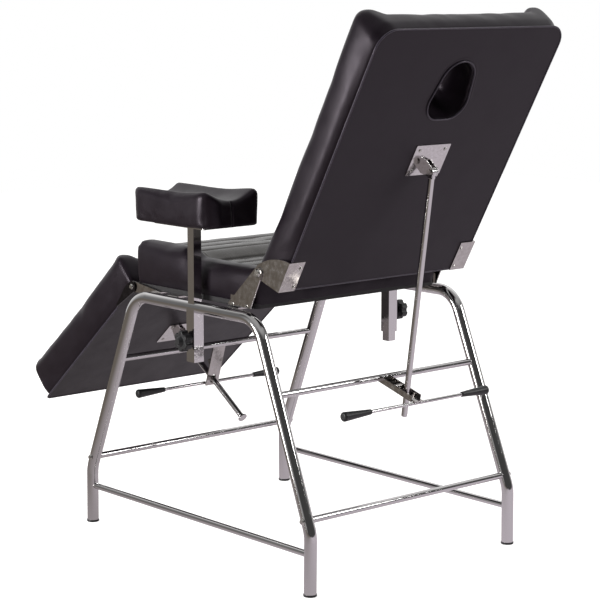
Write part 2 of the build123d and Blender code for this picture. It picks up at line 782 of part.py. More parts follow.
leg_plate_spots = [(sx * rod_plate_screw_x + leg_rod_x, leg_plate_up + su * rod_plate_screw_u)
                   for sx in (1, -1) for su in (1, -1)]
leg_flange_spots = [(sign * flange_screw_x, out) for sign in (1, -1)
                    for out in (leg_flange_start + flange_screw_low, flange_screw_high)]
with BuildPart() as leg_board:
    with BuildSketch(leg_face(board_t)):
        with Locations((0, leg_length / 2)):
            RectangleRounded(2 * (half_width - board_inset), leg_length - 2 * board_inset,
                             board_round)
    extrude(amount=board_t)
leg_blank = leg_board.part
with BuildPart() as leg_board:
    add(leg_blank)
    screw_holes(leg_face(-rod_plate_t), leg_plate_spots)
    screw_holes(leg_face(-plate_t), leg_flange_spots)
finish(leg_board, "leg_board")

leg_heights = [leg_thickness] * (channel_count + 1)
with BuildPart() as leg_cushion:
    loft(pad_sections(leg_side, leg_length, leg_heights, leg_dish), ruled=True)
    add(leg_blank, mode=Mode.SUBTRACT)
finish(leg_cushion, "leg_cushion")

for sign, hand in ((1, "left"), (-1, "right")):
    with BuildPart() as leg_plate:
        hull_plate(leg_side(sign * outer_plate_x), (-leg_pivot_gap, -leg_pivot_drop),
                   leg_pivot_boss_r,
                   [(leg_flange_start, -plate_t), (leg_hinge_reach, -plate_t), (leg_hinge_reach, 0),
                    (leg_hinge_top_at, leg_hinge_height)], -sign * plate_t)
        with BuildSketch(leg_face(0)) as flange:
            with Locations((sign * (outer_plate_x + plate_t - flange_w / 2),
                            (leg_flange_start + leg_hinge_reach) / 2)):
                Rectangle(flange_w, leg_hinge_reach - leg_flange_start)
        extrude(flange.sketch, amount=plate_t)
        rounds(leg_side(sign * (outer_plate_x - over)), [(-leg_pivot_gap, -leg_pivot_drop)],
               rod_pin_d, -sign * (plate_t + 2 * over), Mode.SUBTRACT)
        screw_holes(leg_face(-plate_t - over),
                    [(sign * flange_screw_x, leg_flange_start + flange_screw_low),
                     (sign * flange_screw_x, flange_screw_high)])
    finish(leg_plate, f"leg_hinge_plate_{hand}")

with BuildPart() as leg_hinge_pins:
    for sign in (1, -1):
        rounds(side(sign * inner_plate_x), [(leg_pivot_y, leg_pivot_z)], rod_pin_d,
               sign * (outer_plate_x + plate_t + plate_gap - inner_plate_x))
        with BuildSketch(side(sign * (outer_plate_x + plate_t + plate_gap))) as pivot_head:
            with Locations((leg_pivot_y, leg_pivot_z)):
                Circle(rod_pin_head_d / 2)
        extrude(pivot_head.sketch, amount=sign * rod_pin_head_h, taper=head_taper)
finish(leg_hinge_pins, "leg_hinge_pins")

with BuildPart() as leg_rod_plate:
    rod_plate(leg_face, leg_side, 1, leg_rod_x, leg_plate_up, leg_rod_up, leg_plate_spots)
finish(leg_rod_plate, "leg_rod_plate")

with BuildPart() as leg_plate_screws:
    screws(leg_face(-rod_plate_t), leg_plate_spots)
    screws(leg_face(-plate_t), leg_flange_spots)
finish(leg_plate_screws, "leg_plate_screws")

# Locks: local axes run away from the crossbar and out of the top or front face

slope_c = cos(radians(back_lock_slope))
slope_s = sin(radians(back_lock_slope))
lean_c = cos(radians(leg_lock_lean))
lean_s = sin(radians(leg_lock_lean))


def channel_side(x):
    """A plane across the rear lock at x: local axes down the channel and up out of it."""
    return Plane(origin=(x, frame_y + leg_y(middle_bar_z), middle_bar_z),
                 x_dir=(0, slope_c, -slope_s), z_dir=(1, 0, 0))


def channel_top(up):
    """A plane along the rear lock's channel: local axes down the channel and along X."""
    return Plane(origin=(0, frame_y + leg_y(middle_bar_z) + up * slope_s,
                         middle_bar_z + up * slope_c),
                 x_dir=(0, slope_c, -slope_s), z_dir=(0, slope_s, slope_c))


def hanger_side(x):
    """A plane across the front lock at x: local axes down the plate and out to the front."""
    return Plane(origin=(x, frame_y - leg_y(middle_bar_z), middle_bar_z),
                 x_dir=(0, -lean_s, -lean_c), z_dir=(-1, 0, 0))


def hanger_face(out):
    """A plane along the front lock's plate: local axes down the plate and along X."""
    return Plane(origin=(0, frame_y - leg_y(middle_bar_z) - out * lean_c,
                         middle_bar_z + out * lean_s),
                 x_dir=(0, -lean_s, -lean_c), z_dir=(0, -lean_c, lean_s))


web_top = -back_lock_web_drop + back_lock_t / 2
channel_inner = back_lock_w - 2 * back_lock_t
top_y_sign = channel_top(0).y_dir.X
face_y_sign = hanger_face(0).y_dir.X
lever_pin_up = web_top + back_lever_pin_over_web
with BuildPart() as back_lock_channel:
    with BuildSketch(channel_top(web_top - back_lock_t)) as web:
        with Locations((back_lock_length / 2, top_y_sign * back_rod_x)):
            Rectangle(back_lock_length, back_lock_w)
    extrude(web.sketch, amount=back_lock_h)
    with BuildSketch(channel_top(web_top)) as trough:
        with Locations((back_lock_length / 2, top_y_sign * back_rod_x)):
            Rectangle(back_lock_length + 2 * over, channel_inner)
    extrude(trough.sketch, amount=back_lock_h, mode=Mode.SUBTRACT)
    with BuildSketch(channel_top(web_top - back_lock_t - over)) as slot:
        with Locations((back_lock_rod_at, top_y_sign * back_rod_x)):
            SlotOverall(back_lock_slot_l, rod_slot_w)
    extrude(slot.sketch, amount=back_lock_t + 2 * over, mode=Mode.SUBTRACT)
    rounds(channel_side(back_rod_x - back_lock_w / 2 - over), [(lever_pin_at, lever_pin_up)],
           lever_pin_d, back_lock_w + 2 * over, Mode.SUBTRACT)
    rounds(side(back_rod_x - back_lock_w), [(leg_y(middle_bar_z), middle_bar_z)], bar_d,
           2 * back_lock_w, Mode.SUBTRACT)
finish(back_lock_channel, "back_lock_channel")

with BuildPart() as back_lever_pin:
    rounds(channel_side(back_rod_x - back_lock_w / 2), [(lever_pin_at, lever_pin_up)],
           lever_pin_d, back_lock_w)
    for sign in (1, -1):
        rounds(channel_side(back_rod_x + sign * back_lock_w / 2), [(lever_pin_at, lever_pin_up)],
               lever_pin_d + lever_pin_rim, sign * lever_pin_cap)
finish(back_lever_pin, "back_lever_pin")

hanger_pin_out = leg_lock_t / 2 + leg_lever_pin_off
with BuildPart() as leg_lock_plate:
    with BuildSketch(hanger_face(-leg_lock_t / 2)) as plate:
        with Locations((leg_lock_length / 2, face_y_sign * leg_rod_x)):
            Rectangle(leg_lock_length, leg_lock_w)
    extrude(plate.sketch, amount=leg_lock_t)
    for sign in (1, -1):
        ear_near = leg_rod_x + sign * (channel_inner / 2)
        hull_plate(hanger_side(ear_near), (lever_pin_at, hanger_pin_out), clamp_eye_r,
                   [(lever_pin_at - leg_ear_foot / 2, leg_lock_t / 2),
                    (lever_pin_at + leg_ear_foot / 2, leg_lock_t / 2)], -sign * leg_ear_t)
    with BuildSketch(hanger_face(-leg_lock_t / 2 - over)) as slot:
        with Locations((leg_lock_rod_at + leg_lock_slot_shift, face_y_sign * leg_rod_x)):
            SlotOverall(leg_lock_slot_l, rod_slot_w)
    extrude(slot.sketch, amount=leg_lock_t + 2 * over, mode=Mode.SUBTRACT)
    rounds(hanger_side(leg_rod_x + leg_lock_w), [(lever_pin_at, hanger_pin_out)], lever_pin_d,
           2 * leg_lock_w, Mode.SUBTRACT)
    rounds(side(leg_rod_x - leg_lock_w), [(-leg_y(middle_bar_z), middle_bar_z)], bar_d,
           2 * leg_lock_w, Mode.SUBTRACT)
finish(leg_lock_plate, "leg_lock_plate")

leg_pin_half = channel_inner / 2 + leg_ear_t
with BuildPart() as leg_lever_pin:
    rounds(hanger_side(leg_rod_x + leg_pin_half), [(lever_pin_at, hanger_pin_out)],
           lever_pin_d, 2 * leg_pin_half)
    for sign in (1, -1):
        rounds(hanger_side(leg_rod_x + sign * leg_pin_half), [(lever_pin_at, hanger_pin_out)],
               lever_pin_d + lever_pin_rim, -sign * lever_pin_cap)
finish(leg_lever_pin, "leg_lever_pin")

# Release levers

clamp_w = channel_inner - 2 * clamp_side_gap


def clamp_plate(side_plane, flat_plane, y_sign, rod_x, pin_out, face_out, end, slot_at, slot_l):
    """A flat plate with a slot for the rod and an eye rolled round the lever pin."""
    facing = side_plane(0).z_dir.X
    with BuildSketch(flat_plane(face_out)) as leaf:
        with Locations(((lever_pin_at + end) / 2, y_sign * rod_x)):
            Rectangle(end - lever_pin_at, clamp_w)
    extrude(leaf.sketch, amount=clamp_t)
    rounds(side_plane(rod_x - clamp_w / 2), [(lever_pin_at, pin_out)], 2 * clamp_eye_r,
           facing * clamp_w)
    with BuildSketch(flat_plane(face_out - over)) as slot:
        with Locations((slot_at, y_sign * rod_x)):
            SlotOverall(slot_l, rod_slot_w)
    extrude(slot.sketch, amount=clamp_t + 2 * over, mode=Mode.SUBTRACT)
    rounds(side_plane(rod_x - clamp_w), [(lever_pin_at, pin_out)], lever_pin_d + 2 * run_gap,
           facing * 2 * clamp_w, Mode.SUBTRACT)


back_leaf_up = web_top + clamp_gap
leg_leaf_out = leg_lock_t / 2 + clamp_gap
with BuildPart() as back_clamp_plate:
    clamp_plate(channel_side, channel_top, top_y_sign, back_rod_x, lever_pin_up, back_leaf_up,
                back_clamp_end, back_lock_rod_at, back_clamp_slot_l)
finish(back_clamp_plate, "back_clamp_plate")

with BuildPart() as leg_clamp_plate:
    clamp_plate(hanger_side, hanger_face, face_y_sign, leg_rod_x, hanger_pin_out, leg_leaf_out,
                leg_clamp_end, leg_lock_rod_at - leg_clamp_slot_up, leg_clamp_slot_l)
finish(leg_clamp_plate, "leg_clamp_plate")


def lever_bar(side_plane, rod_x, spot):
    """The cross bar that is welded to a clamp plate."""
    half = lever_half - grip_l + grip_bore_l
    rounds(side_plane(rod_x - half), [spot], lever_bar_d, side_plane(0).z_dir.X * 2 * half)


def lever_grips(side_plane, rod_x, spot):
    """Two tapered grips with a blind bore for the bar."""
    end_r = grip_outer_d / 2
    corner_in = grip_end_round * (1 - sqrt(0.5))
    for way in (1, -1):
        start = rod_x + way * (lever_half - grip_l)
        plane = Plane(origin=side_plane(start).from_local_coords(spot), x_dir=(way, 0, 0),
                      z_dir=(0, way, 0))
        with BuildSketch(plane) as outline:
            with BuildLine():
                Line((0, 0), (0, grip_inner_d / 2))
                ThreePointArc((0, grip_inner_d / 2),
                              (grip_waist_at, grip_waist_d / 2),
                              (grip_l - grip_end_round, end_r))
                ThreePointArc((grip_l - grip_end_round, end_r),
                              (grip_l - corner_in, end_r - corner_in),
                              (grip_l, end_r - grip_end_round))
                Line((grip_l, end_r - grip_end_round), (grip_l, 0))
                Line((grip_l, 0), (0, 0))
            make_face()
        revolve(outline.sketch, axis=Axis(plane.origin, plane.x_dir))
        rounds(side_plane(start), [spot], lever_bar_d,
               way * side_plane(0).z_dir.X * grip_bore_l, Mode.SUBTRACT)


back_bar_spot = (back_lever_bar_at, back_leaf_up - lever_bar_d / 2)
leg_bar_spot = (leg_lever_bar_at, leg_leaf_out + clamp_t + lever_bar_d / 2)
with BuildPart() as back_lever_bar:
    lever_bar(channel_side, back_rod_x, back_bar_spot)
finish(back_lever_bar, "back_lever_bar")

with BuildPart() as back_lever_grips:
    lever_grips(channel_side, back_rod_x, back_bar_spot)
finish(back_lever_grips, "back_lever_grips")

with BuildPart() as leg_lever_bar:
    lever_bar(hanger_side, leg_rod_x, leg_bar_spot)
finish(leg_lever_bar, "leg_lever_bar")

with BuildPart() as leg_lever_grips:
    lever_grips(hanger_side, leg_rod_x, leg_bar_spot)
finish(leg_lever_grips, "leg_lever_grips")

# Support rods, from the pivot on the plate through the lock


def rod_plane(pivot, through, rod_x):
    """A plane at a rod's pivot whose normal runs down the rod."""
    run = hypot(through[0] - pivot[0], through[1] - pivot[1])
    return Plane(origin=(rod_x, frame_y + pivot[0], pivot[1]), x_dir=(1, 0, 0),
                 z_dir=(0, (through[0] - pivot[0]) / run, (through[1] - pivot[1]) / run))


back_rod_pivot = back_point(back_rod_up, -rod_pivot_off)
leg_rod_pivot = leg_point(leg_rod_up, -rod_pivot_off)
back_lock_point = (leg_y(middle_bar_z) + back_lock_rod_at * slope_c - back_lock_web_drop * slope_s,
                   middle_bar_z - back_lock_rod_at * slope_s - back_lock_web_drop * slope_c)
leg_lock_point = (-leg_y(middle_bar_z) - leg_lock_rod_at * lean_s,
                  middle_bar_z - leg_lock_rod_at * lean_c)


def support_rod(pivot, through, rod_x, length):
    """A round rod with a flattened end and an eye for its pivot pin."""
    plane = rod_plane(pivot, through, rod_x)
    rounds(plane.offset(rod_neck), [(0, 0)], rod_d, length - rod_neck)
    with BuildSketch(plane) as neck:
        Rectangle(rod_eye_t, rod_d)
    extrude(neck.sketch, amount=rod_neck)
    rounds(side(rod_x - rod_eye_t / 2), [pivot], rod_eye_d, rod_eye_t)
    rounds(side(rod_x - rod_d), [pivot], rod_pin_d, 2 * rod_d, Mode.SUBTRACT)


def rod_pin(pivot, rod_x):
    """A headed clevis pin through the rod's eye and both ears."""
    half = ear_gap / 2 + ear_t + plate_gap
    rounds(side(rod_x - half), [pivot], rod_pin_d, 2 * half)
    for sign in (1, -1):
        rounds(side(rod_x + sign * half), [pivot], rod_pin_head_d, sign * rod_pin_head_h)


with BuildPart() as back_rod:
    support_rod(back_rod_pivot, back_lock_point, back_rod_x, back_rod_length)
    fillet(back_rod.edges().filter_by(GeomType.CIRCLE).sort_by(Axis.Z)[0], rod_tip_round)
finish(back_rod, "back_rod")

with BuildPart() as back_rod_pin:
    rod_pin(back_rod_pivot, back_rod_x)
finish(back_rod_pin, "back_rod_pin")

with BuildPart() as leg_rod:
    support_rod(leg_rod_pivot, leg_lock_point, leg_rod_x, leg_rod_length)
    rounds(rod_plane(leg_rod_pivot, leg_lock_point, leg_rod_x).offset(leg_rod_length - stop_disc_t),
           [(0, 0)], stop_disc_d, stop_disc_t)
finish(leg_rod, "leg_rod")

with BuildPart() as leg_rod_pin:
    rod_pin(leg_rod_pivot, leg_rod_x)
finish(leg_rod_pin, "leg_rod_pin")

# Armrests


def armrest_section(y, sign, inward, sink):
    """One section across an armrest pad: two lobes with a gutter between them."""
    outer = pad_w / 2 - drawn_in(pad_outer_corner_r, inward)
    inner = pad_w / 2 - drawn_in(pad_inner_corner_r, inward)
    left, right = (-inner, outer) if sign > 0 else (-outer, inner)
    top = pad_lobe_h - sink
    valley = pad_valley_h - sink * pad_valley_share
    slant = pad_top_r * sqrt(0.5)
    with BuildSketch(across(y)) as section:
        with BuildLine():
            Line((left + pad_foot_in, pad_z), (left, pad_z + pad_foot_in))
            Line((left, pad_z + pad_foot_in), (left, pad_z + top - pad_top_r))
            ThreePointArc((left, pad_z + top - pad_top_r),
                          (left + pad_top_r - slant, pad_z + top - pad_top_r + slant),
                          (left + pad_top_r, pad_z + top))
            ThreePointArc((left + pad_top_r, pad_z + top), (0, pad_z + valley),
                          (right - pad_top_r, pad_z + top))
            ThreePointArc((right - pad_top_r, pad_z + top),
                          (right - pad_top_r + slant, pad_z + top - pad_top_r + slant),
                          (right, pad_z + top - pad_top_r))
            Line((right, pad_z + top - pad_top_r), (right, pad_z + pad_foot_in))
            Line((right, pad_z + pad_foot_in), (right - pad_foot_in, pad_z))
            Line((right - pad_foot_in, pad_z), (left + pad_foot_in, pad_z))
        make_face()
    return section.sketch.face()


for sign, hand, post_length in ((1, "left", post_length_left), (-1, "right", post_length_right)):
    foot_z = pad_z - post_length
    under_support = Plane(origin=(sign * rail_x, frame_y + socket_y, pad_z - support_t),
                          x_dir=(1, 0, 0), z_dir=(0, 0, -1))
    support_spots = [(sx * support_screw_x, sy * support_screw_y) for sx in (1, -1)
                     for sy in (1, -1)]
    with BuildPart() as post:
        with BuildSketch(level(foot_z)):
            with Locations((sign * rail_x, socket_y)):
                Rectangle(post_w, post_w)
                Rectangle(post_w - 2 * post_wall, post_w - 2 * post_wall, mode=Mode.SUBTRACT)
        extrude(amount=pad_z - support_t - foot_z)
        with BuildSketch(level(pad_z - support_t)):
            with Locations((sign * rail_x, socket_y)):
                RectangleRounded(support_w, support_l, tab_round)
        extrude(amount=support_t)
        screw_holes(under_support.offset(over), support_spots)
    finish(post, f"armrest_post_{hand}")

    steps = sorted({radius * (1 - cos(radians(turn))) for radius in (pad_outer_corner_r, pad_top_r)
                    for turn in (0, 30, 60, 90)})
    stations = [(pad_l / 2 - inward, inward) for inward in steps]
    stations += [(-y, inward) for y, inward in stations[::-1]]
    with BuildPart() as pad:
        loft([armrest_section(pad_y + y, sign, inward, drawn_in(pad_top_r, inward))
              for y, inward in stations], ruled=True)
    pad_shape = pad.part.moved(Location((sign * rail_x, 0, 0)))
    with BuildPart() as pad:
        add(pad_shape)
        screw_holes(under_support, support_spots)
    finish(pad, f"armrest_pad_{hand}")

    with BuildPart() as armrest_screws:
        screws(under_support, support_spots)
    finish(armrest_screws, f"armrest_screws_{hand}")

# Clamp knobs

knob_hub_start = rail_x + socket_out + weld_nut_h + knob_gap
knob_start = knob_hub_start + knob_hub_l
for sign, hand in ((1, "left"), (-1, "right")):
    with BuildPart() as knob:
        with BuildSketch(side(sign * knob_start)) as star:
            with Locations((socket_y, knob_z)):
                Circle(knob_d / 2)
                with PolarLocations(knob_d / 2 + knob_scoop_d * knob_scoop_out_share, knob_lobes):
                    Circle(knob_scoop_d / 2, mode=Mode.SUBTRACT)
        extrude(star.sketch, amount=sign * knob_body_l)
        fillet(knob.edges().group_by(Axis.X)[0 if sign < 0 else -1], knob_round)
        rounds(side(sign * knob_hub_start), [(socket_y, knob_z)], knob_hub_d, sign * knob_hub_l)
        with BuildSketch(side(sign * (knob_start + knob_body_l))) as dome:
            with Locations((socket_y, knob_z)):
                Circle(knob_hub_d * knob_dome_share)
        extrude(dome.sketch, amount=sign * knob_dome_l, taper=head_taper)
        rounds(side(sign * (knob_hub_start - over)), [(socket_y, knob_z)], stud_d,
               sign * (knob_hub_l + over + stud_in_knob), Mode.SUBTRACT)
    finish(knob, f"knob_{hand}")

    with BuildPart() as stud:
        rounds(side(sign * (rail_x + post_r + slide_gap)), [(socket_y, knob_z)], stud_d,
               sign * (knob_start + stud_in_knob - rail_x - post_r - slide_gap))
    finish(stud, f"knob_stud_{hand}")
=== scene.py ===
"""Looks of a reclining tattoo chair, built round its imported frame.

The chair stands on a bent chromed tube frame. Its seat, backrest and leg rest are foam pads under
a black coated fabric, sewn in channels across. Everything is in metres, in the frame of the
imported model: +Z is up, the sitter looks along -Y and +X is the sitter's left.
"""

import logging
import math
from collections.abc import Callable
from dataclasses import dataclass, field
from enum import Enum

import bmesh
import bpy
import numpy as np
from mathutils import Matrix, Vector


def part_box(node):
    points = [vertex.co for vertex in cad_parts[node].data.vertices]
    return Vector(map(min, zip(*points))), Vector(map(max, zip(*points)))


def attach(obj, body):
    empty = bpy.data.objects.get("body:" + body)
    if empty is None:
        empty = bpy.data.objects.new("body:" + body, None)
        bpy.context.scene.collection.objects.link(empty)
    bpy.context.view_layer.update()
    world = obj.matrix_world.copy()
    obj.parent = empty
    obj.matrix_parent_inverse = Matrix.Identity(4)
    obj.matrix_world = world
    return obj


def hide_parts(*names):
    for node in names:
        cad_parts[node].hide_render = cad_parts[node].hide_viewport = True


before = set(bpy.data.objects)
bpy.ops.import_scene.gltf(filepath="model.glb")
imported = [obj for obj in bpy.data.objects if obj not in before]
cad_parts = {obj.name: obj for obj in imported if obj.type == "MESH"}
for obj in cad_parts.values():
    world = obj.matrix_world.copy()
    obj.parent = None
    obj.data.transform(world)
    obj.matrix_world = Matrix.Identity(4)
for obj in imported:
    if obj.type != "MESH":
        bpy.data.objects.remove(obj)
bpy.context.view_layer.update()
LOG = logging.getLogger("tattoo_chair")
MM = 0.001
TINY = 1e-9
SHARP = 1.0
ROUNDED = math.radians(35)
CREASED = math.radians(15)

Piece = bpy.types.Object
Tree = bpy.types.NodeTree
Node = bpy.types.Node
Socket = bpy.types.NodeSocket
Point = tuple[float, float, float]
Span = tuple[float, float]


# Small helpers


def linear(code: str) -> tuple[float, float, float, float]:
    """Turn an sRGB hex colour into the linear values that a shader socket takes.

    Args:
        code: Six hex digits, such as "1A181D".

    Returns:
        Red, green, blue and an alpha of one.
    """
    levels = [int(code[i:i + 2], 16) / 255 for i in (0, 2, 4)]
    red, green, blue = (v / 12.92 if v <= 0.04045 else ((v + 0.055) / 1.055) ** 2.4
                        for v in levels)
    return red, green, blue, 1.0


def fill(tree: Tree, node: Node, inputs: dict) -> Node:
    """Fill in a node's input sockets.

    Args:
        tree: The node's tree.
        node: The node.
        inputs: Input socket to its fixed value, or to the socket that feeds it.

    Returns:
        The node.
    """
    for name, source in inputs.items():
        if isinstance(source, Socket):
            tree.links.new(source, node.inputs[name])
        else:
            node.inputs[name].default_value = source
    return node


def add_node(tree: Tree, kind: str, inputs: dict | None = None, **settings: object) -> Node:
    """Add a node.

    Args:
        tree: The node tree.
        kind: The node's bl_idname.
        inputs: Its input sockets, as in fill.
        **settings: Its properties.

    Returns:
        The new node.
    """
    node = tree.nodes.new(kind)
    for name, value in settings.items():
        setattr(node, name, value)
    return fill(tree, node, inputs or {})


def noise(tree: Tree, place: Socket, size_mm: float, detail: float,
          roughness: float = 0.5) -> Socket:
    """Add a noise.

    Args:
        tree: The node tree.
        place: The coordinates in metres.
        size_mm: The size of its patches.
        detail: How many finer layers it has.
        roughness: How strong the finer layers are.

    Returns:
        The noise's factor.
    """
    inputs = {"Scale": 1 / (size_mm * MM), "Detail": detail, "Roughness": roughness,
              "Vector": place}
    return add_node(tree, "ShaderNodeTexNoise", inputs).outputs["Fac"]


def stretched(tree: Tree, place: Socket, share: float) -> Socket:
    """Coordinates whose X runs at a share of its speed, for marks that are long in X."""
    inputs = {"Scale": (share, 1.0, 1.0), "Vector": place}
    return add_node(tree, "ShaderNodeMapping", inputs).outputs["Vector"]


def remap(tree: Tree, value: Socket, result: Span,
          span: Span = (0.0, 1.0), curve: str = "LINEAR") -> Socket:
    """Map a value from one range to another.

    Args:
        tree: The node tree.
        value: The socket that gives the value.
        result: What the span's start and end give.
        span: The range of the value.
        curve: The way between the two.

    Returns:
        The mapped value.
    """
    inputs = {"Value": value, "From Min": span[0], "From Max": span[1], "To Min": result[0],
              "To Max": result[1]}
    return add_node(tree, "ShaderNodeMapRange", inputs, interpolation_type=curve).outputs["Result"]


def toward(tree: Tree, place: Socket, way: Point) -> Socket:
    """How far a place lies along a way."""
    return add_node(tree, "ShaderNodeVectorMath", {0: place, 1: way},
                    operation="DOT_PRODUCT").outputs["Value"]


def blend(tree: Tree, share: Socket, first: str, second: str) -> Socket:
    """Go from one sRGB hex colour to another as a share goes from 0 to 1."""
    inputs = {0: share, 6: linear(first), 7: linear(second)}
    return add_node(tree, "ShaderNodeMix", inputs, data_type="RGBA").outputs[2]


def relief(tree: Tree, height: Socket, strength: float, depth_mm: float,
           under: Socket | None = None) -> Socket:
    """Add a bump.

    Args:
        tree: The node tree.
        height: The socket that gives the height.
        strength: The bump's strength.
        depth_mm: The bump's depth.
        under: The normal of the bump that this one lies on.

    Returns:
        The normal.
    """
    inputs = {"Strength": strength, "Distance": depth_mm * MM, "Height": height}
    if under is not None:
        inputs["Normal"] = under
    return add_node(tree, "ShaderNodeBump", inputs).outputs["Normal"]


def only(piece: Piece) -> None:
    """Deselect everything but one object, and make it the active one.

    Args:
        piece: The object.
    """
    bpy.ops.object.select_all(action="DESELECT")
    piece.select_set(True)
    bpy.context.view_layer.objects.active = piece


def add_shape(add: Callable, **settings: object) -> Piece:
    """Add a primitive with nothing else selected.

    Args:
        add: The operator.
        **settings: Its settings.

    Returns:
        The new object.
    """
    bpy.ops.object.select_all(action="DESELECT")
    add(**settings)
    return bpy.context.object


def resize(piece: Piece, *factors: float) -> None:
    """Scale a new primitive by one factor for each axis, for good."""
    piece.scale = factors
    bpy.ops.object.transform_apply(location=True, rotation=True, scale=True)


def apply_modifier(piece: Piece, kind: str, **settings: object) -> None:
    """Add a modifier with its settings and apply it at once.

    Args:
        piece: The object that is changed.
        kind: The modifier's type.
        **settings: Properties of the modifier.
    """
    only(piece)
    modifier = piece.modifiers.new(kind.title(), kind)
    for name, value in settings.items():
        setattr(modifier, name, value)
    bpy.ops.object.modifier_apply(modifier=modifier.name)


def even_mesh(piece: Piece, voxel: float) -> None:
    """Give a solid a skin of small even faces."""
    apply_modifier(piece, "REMESH", mode="VOXEL", voxel_size=voxel)
    apply_modifier(piece, "SMOOTH", factor=0.5, iterations=2)


def shade(piece: Piece, angle: float | None = None) -> None:
    """Shade a piece smooth.

    Args:
        piece: The object.
        angle: The largest angle between two faces that is still smoothed, or None for any.
    """
    only(piece)
    if angle is None:
        bpy.ops.object.shade_smooth()
    else:
        bpy.ops.object.shade_smooth_by_angle(angle=angle)


def coordinates(piece: Piece) -> np.ndarray:
    """Read a piece's vertex places.

    Args:
        piece: The object.

    Returns:
        One row for each vertex.
    """
    flat = np.zeros(len(piece.data.vertices) * 3)
    piece.data.vertices.foreach_get("co", flat)
    return flat.reshape(-1, 3)


def set_coordinates(piece: Piece, points: np.ndarray) -> None:
    """Move the piece's vertices to new places, one row each."""
    piece.data.vertices.foreach_set("co", points.ravel())
    piece.data.update()


def smooth_step(value: np.ndarray, low: float, high: float) -> np.ndarray:
    """Rise smoothly from 0 at low to 1 at high."""
    share = np.clip((value - low) / (high - low), 0, 1)
    return share * share * (3 - 2 * share)


# Finishes


class Finish:
    """A named surface with a procedural material."""

    name: str = "finish"
    slot: str = "plate_steel"
    roughness: float = 0.5
    rough_spread: Span = (-0.05, 0.07)
    rough_span: Span = (0.3, 0.7)

    def surface(self, tree: Tree, shader: Node, place: Socket) -> None:
        """Fill in the shader.

        Args:
            tree: The material's node tree.
            shader: Its principled shader.
            place: Object coordinates in metres.
        """
        raise NotImplementedError

    def uneven(self, tree: Tree, factor: Socket) -> Socket:
        """The roughness, which follows a noise's factor up and down."""
        spread = tuple(self.roughness + step for step in self.rough_spread)
        return remap(tree, factor, spread, self.rough_span)

    def material(self) -> bpy.types.Material:
        """Make the material on first use, and hand out the same one later.

        Returns:
            The material.
        """
        made = bpy.data.materials.get(self.name)
        if made:
            return made
        made = bpy.data.materials.new(self.name)
        made.use_nodes = True
        tree = made.node_tree
        place = add_node(tree, "ShaderNodeTexCoord").outputs["Object"]
        self.surface(tree, tree.nodes["Principled BSDF"], place)
        return made

    def put_on(self, piece: Piece) -> None:
        """Give a piece this finish in place of what it has.

        Args:
            piece: The object.
        """
        piece.data.materials.clear()
        piece.data.materials.append(self.material())


@dataclass(frozen=True)
class ChromePlating(Finish):
    """Decorative chrome on drawn steel tube: mirror bright, with the tube's faint drawing lines."""

    name: str = "decorative_chrome_plating"
    slot: str = "chromed_tube"
    colour: str = "CDCBCB"
    roughness: float = 0.07
    rough_spread: Span = (-0.03, 0.06)
    rough_span: Span = (0.3, 0.75)
    ripple_mm: float = 22.0
    ripple_depth_mm: float = 0.3
    ripple: float = 0.05

    def surface(self, tree: Tree, shader: Node, place: Socket) -> None:
        """See the base class."""
        haze = noise(tree, place, self.ripple_mm, 6.0)
        fill(tree, shader, {
            "Metallic": 1.0, "Base Color": linear(self.colour),
            "Roughness": self.uneven(tree, haze),
            "Normal": relief(tree, haze, self.ripple, self.ripple_depth_mm)})


@dataclass(frozen=True)
class PlatedSheet(Finish):
    """Zinc-plated sheet steel: satin, faintly warm, with rolling lines and a mottled bloom."""

    name: str = "zinc_plated_sheet_steel"
    colour: str = "C9C6C4"
    dull_colour: str = "A5A09C"
    roughness: float = 0.13
    rough_span: Span = (0.25, 0.75)
    line_mm: float = 0.8
    line_share: float = 0.06
    line_depth_mm: float = 0.12
    line: float = 0.05
    bloom_mm: float = 9.0
    wave: float = 0.14
    wave_depth_mm: float = 0.4

    def surface(self, tree: Tree, shader: Node, place: Socket) -> None:
        """See the base class."""
        bloom = noise(tree, place, self.bloom_mm, 4.0)
        lines = noise(tree, stretched(tree, place, self.line_share), self.line_mm, 3.0)
        waves = relief(tree, bloom, self.wave, self.wave_depth_mm)
        fill(tree, shader, {
            "Metallic": 1.0,
            "Base Color": blend(tree, bloom, self.dull_colour, self.colour),
            "Roughness": self.uneven(tree, bloom),
            "Normal": relief(tree, lines, self.line, self.line_depth_mm, waves)})


@dataclass(frozen=True)
class ZincedSteel(PlatedSheet):
    """Bright zinc on screws, bolts and pins, a little shinier than the sheet."""

    name: str = "bright_zinc_fastener_steel"
    slot: str = "fastener_steel"
    colour: str = "D2D0CC"
    dull_colour: str = "B0ADA8"
    roughness: float = 0.2
    bloom_mm: float = 4.0


@dataclass(frozen=True)
class PressedSheet(PlatedSheet):
    """Thin polished sheet, dimpled by the press: it mirrors the room in bright and dark patches."""

    name: str = "pressed_polished_sheet_steel"
    colour: str = "DAD8D8"
    dull_colour: str = "B9B5B4"
    roughness: float = 0.1
    bloom_mm: float = 6.0
    wave: float = 0.55


@dataclass(frozen=True)
class SheetPaintedDarkReflection(PlatedSheet):
    """Polished sheet steel coloured near black with a faint brown cast: a painted dark reflection
    of the pad beside it, satin.
    """

    name: str = "sheet_steel_painted_dark_reflection"
    # Near-black colours: painted dark reflection on the leg hinge plates.
    colour: str = "2E2A2B"
    dull_colour: str = "1E1A1C"
    roughness: float = 0.32
    wave: float = 0.08


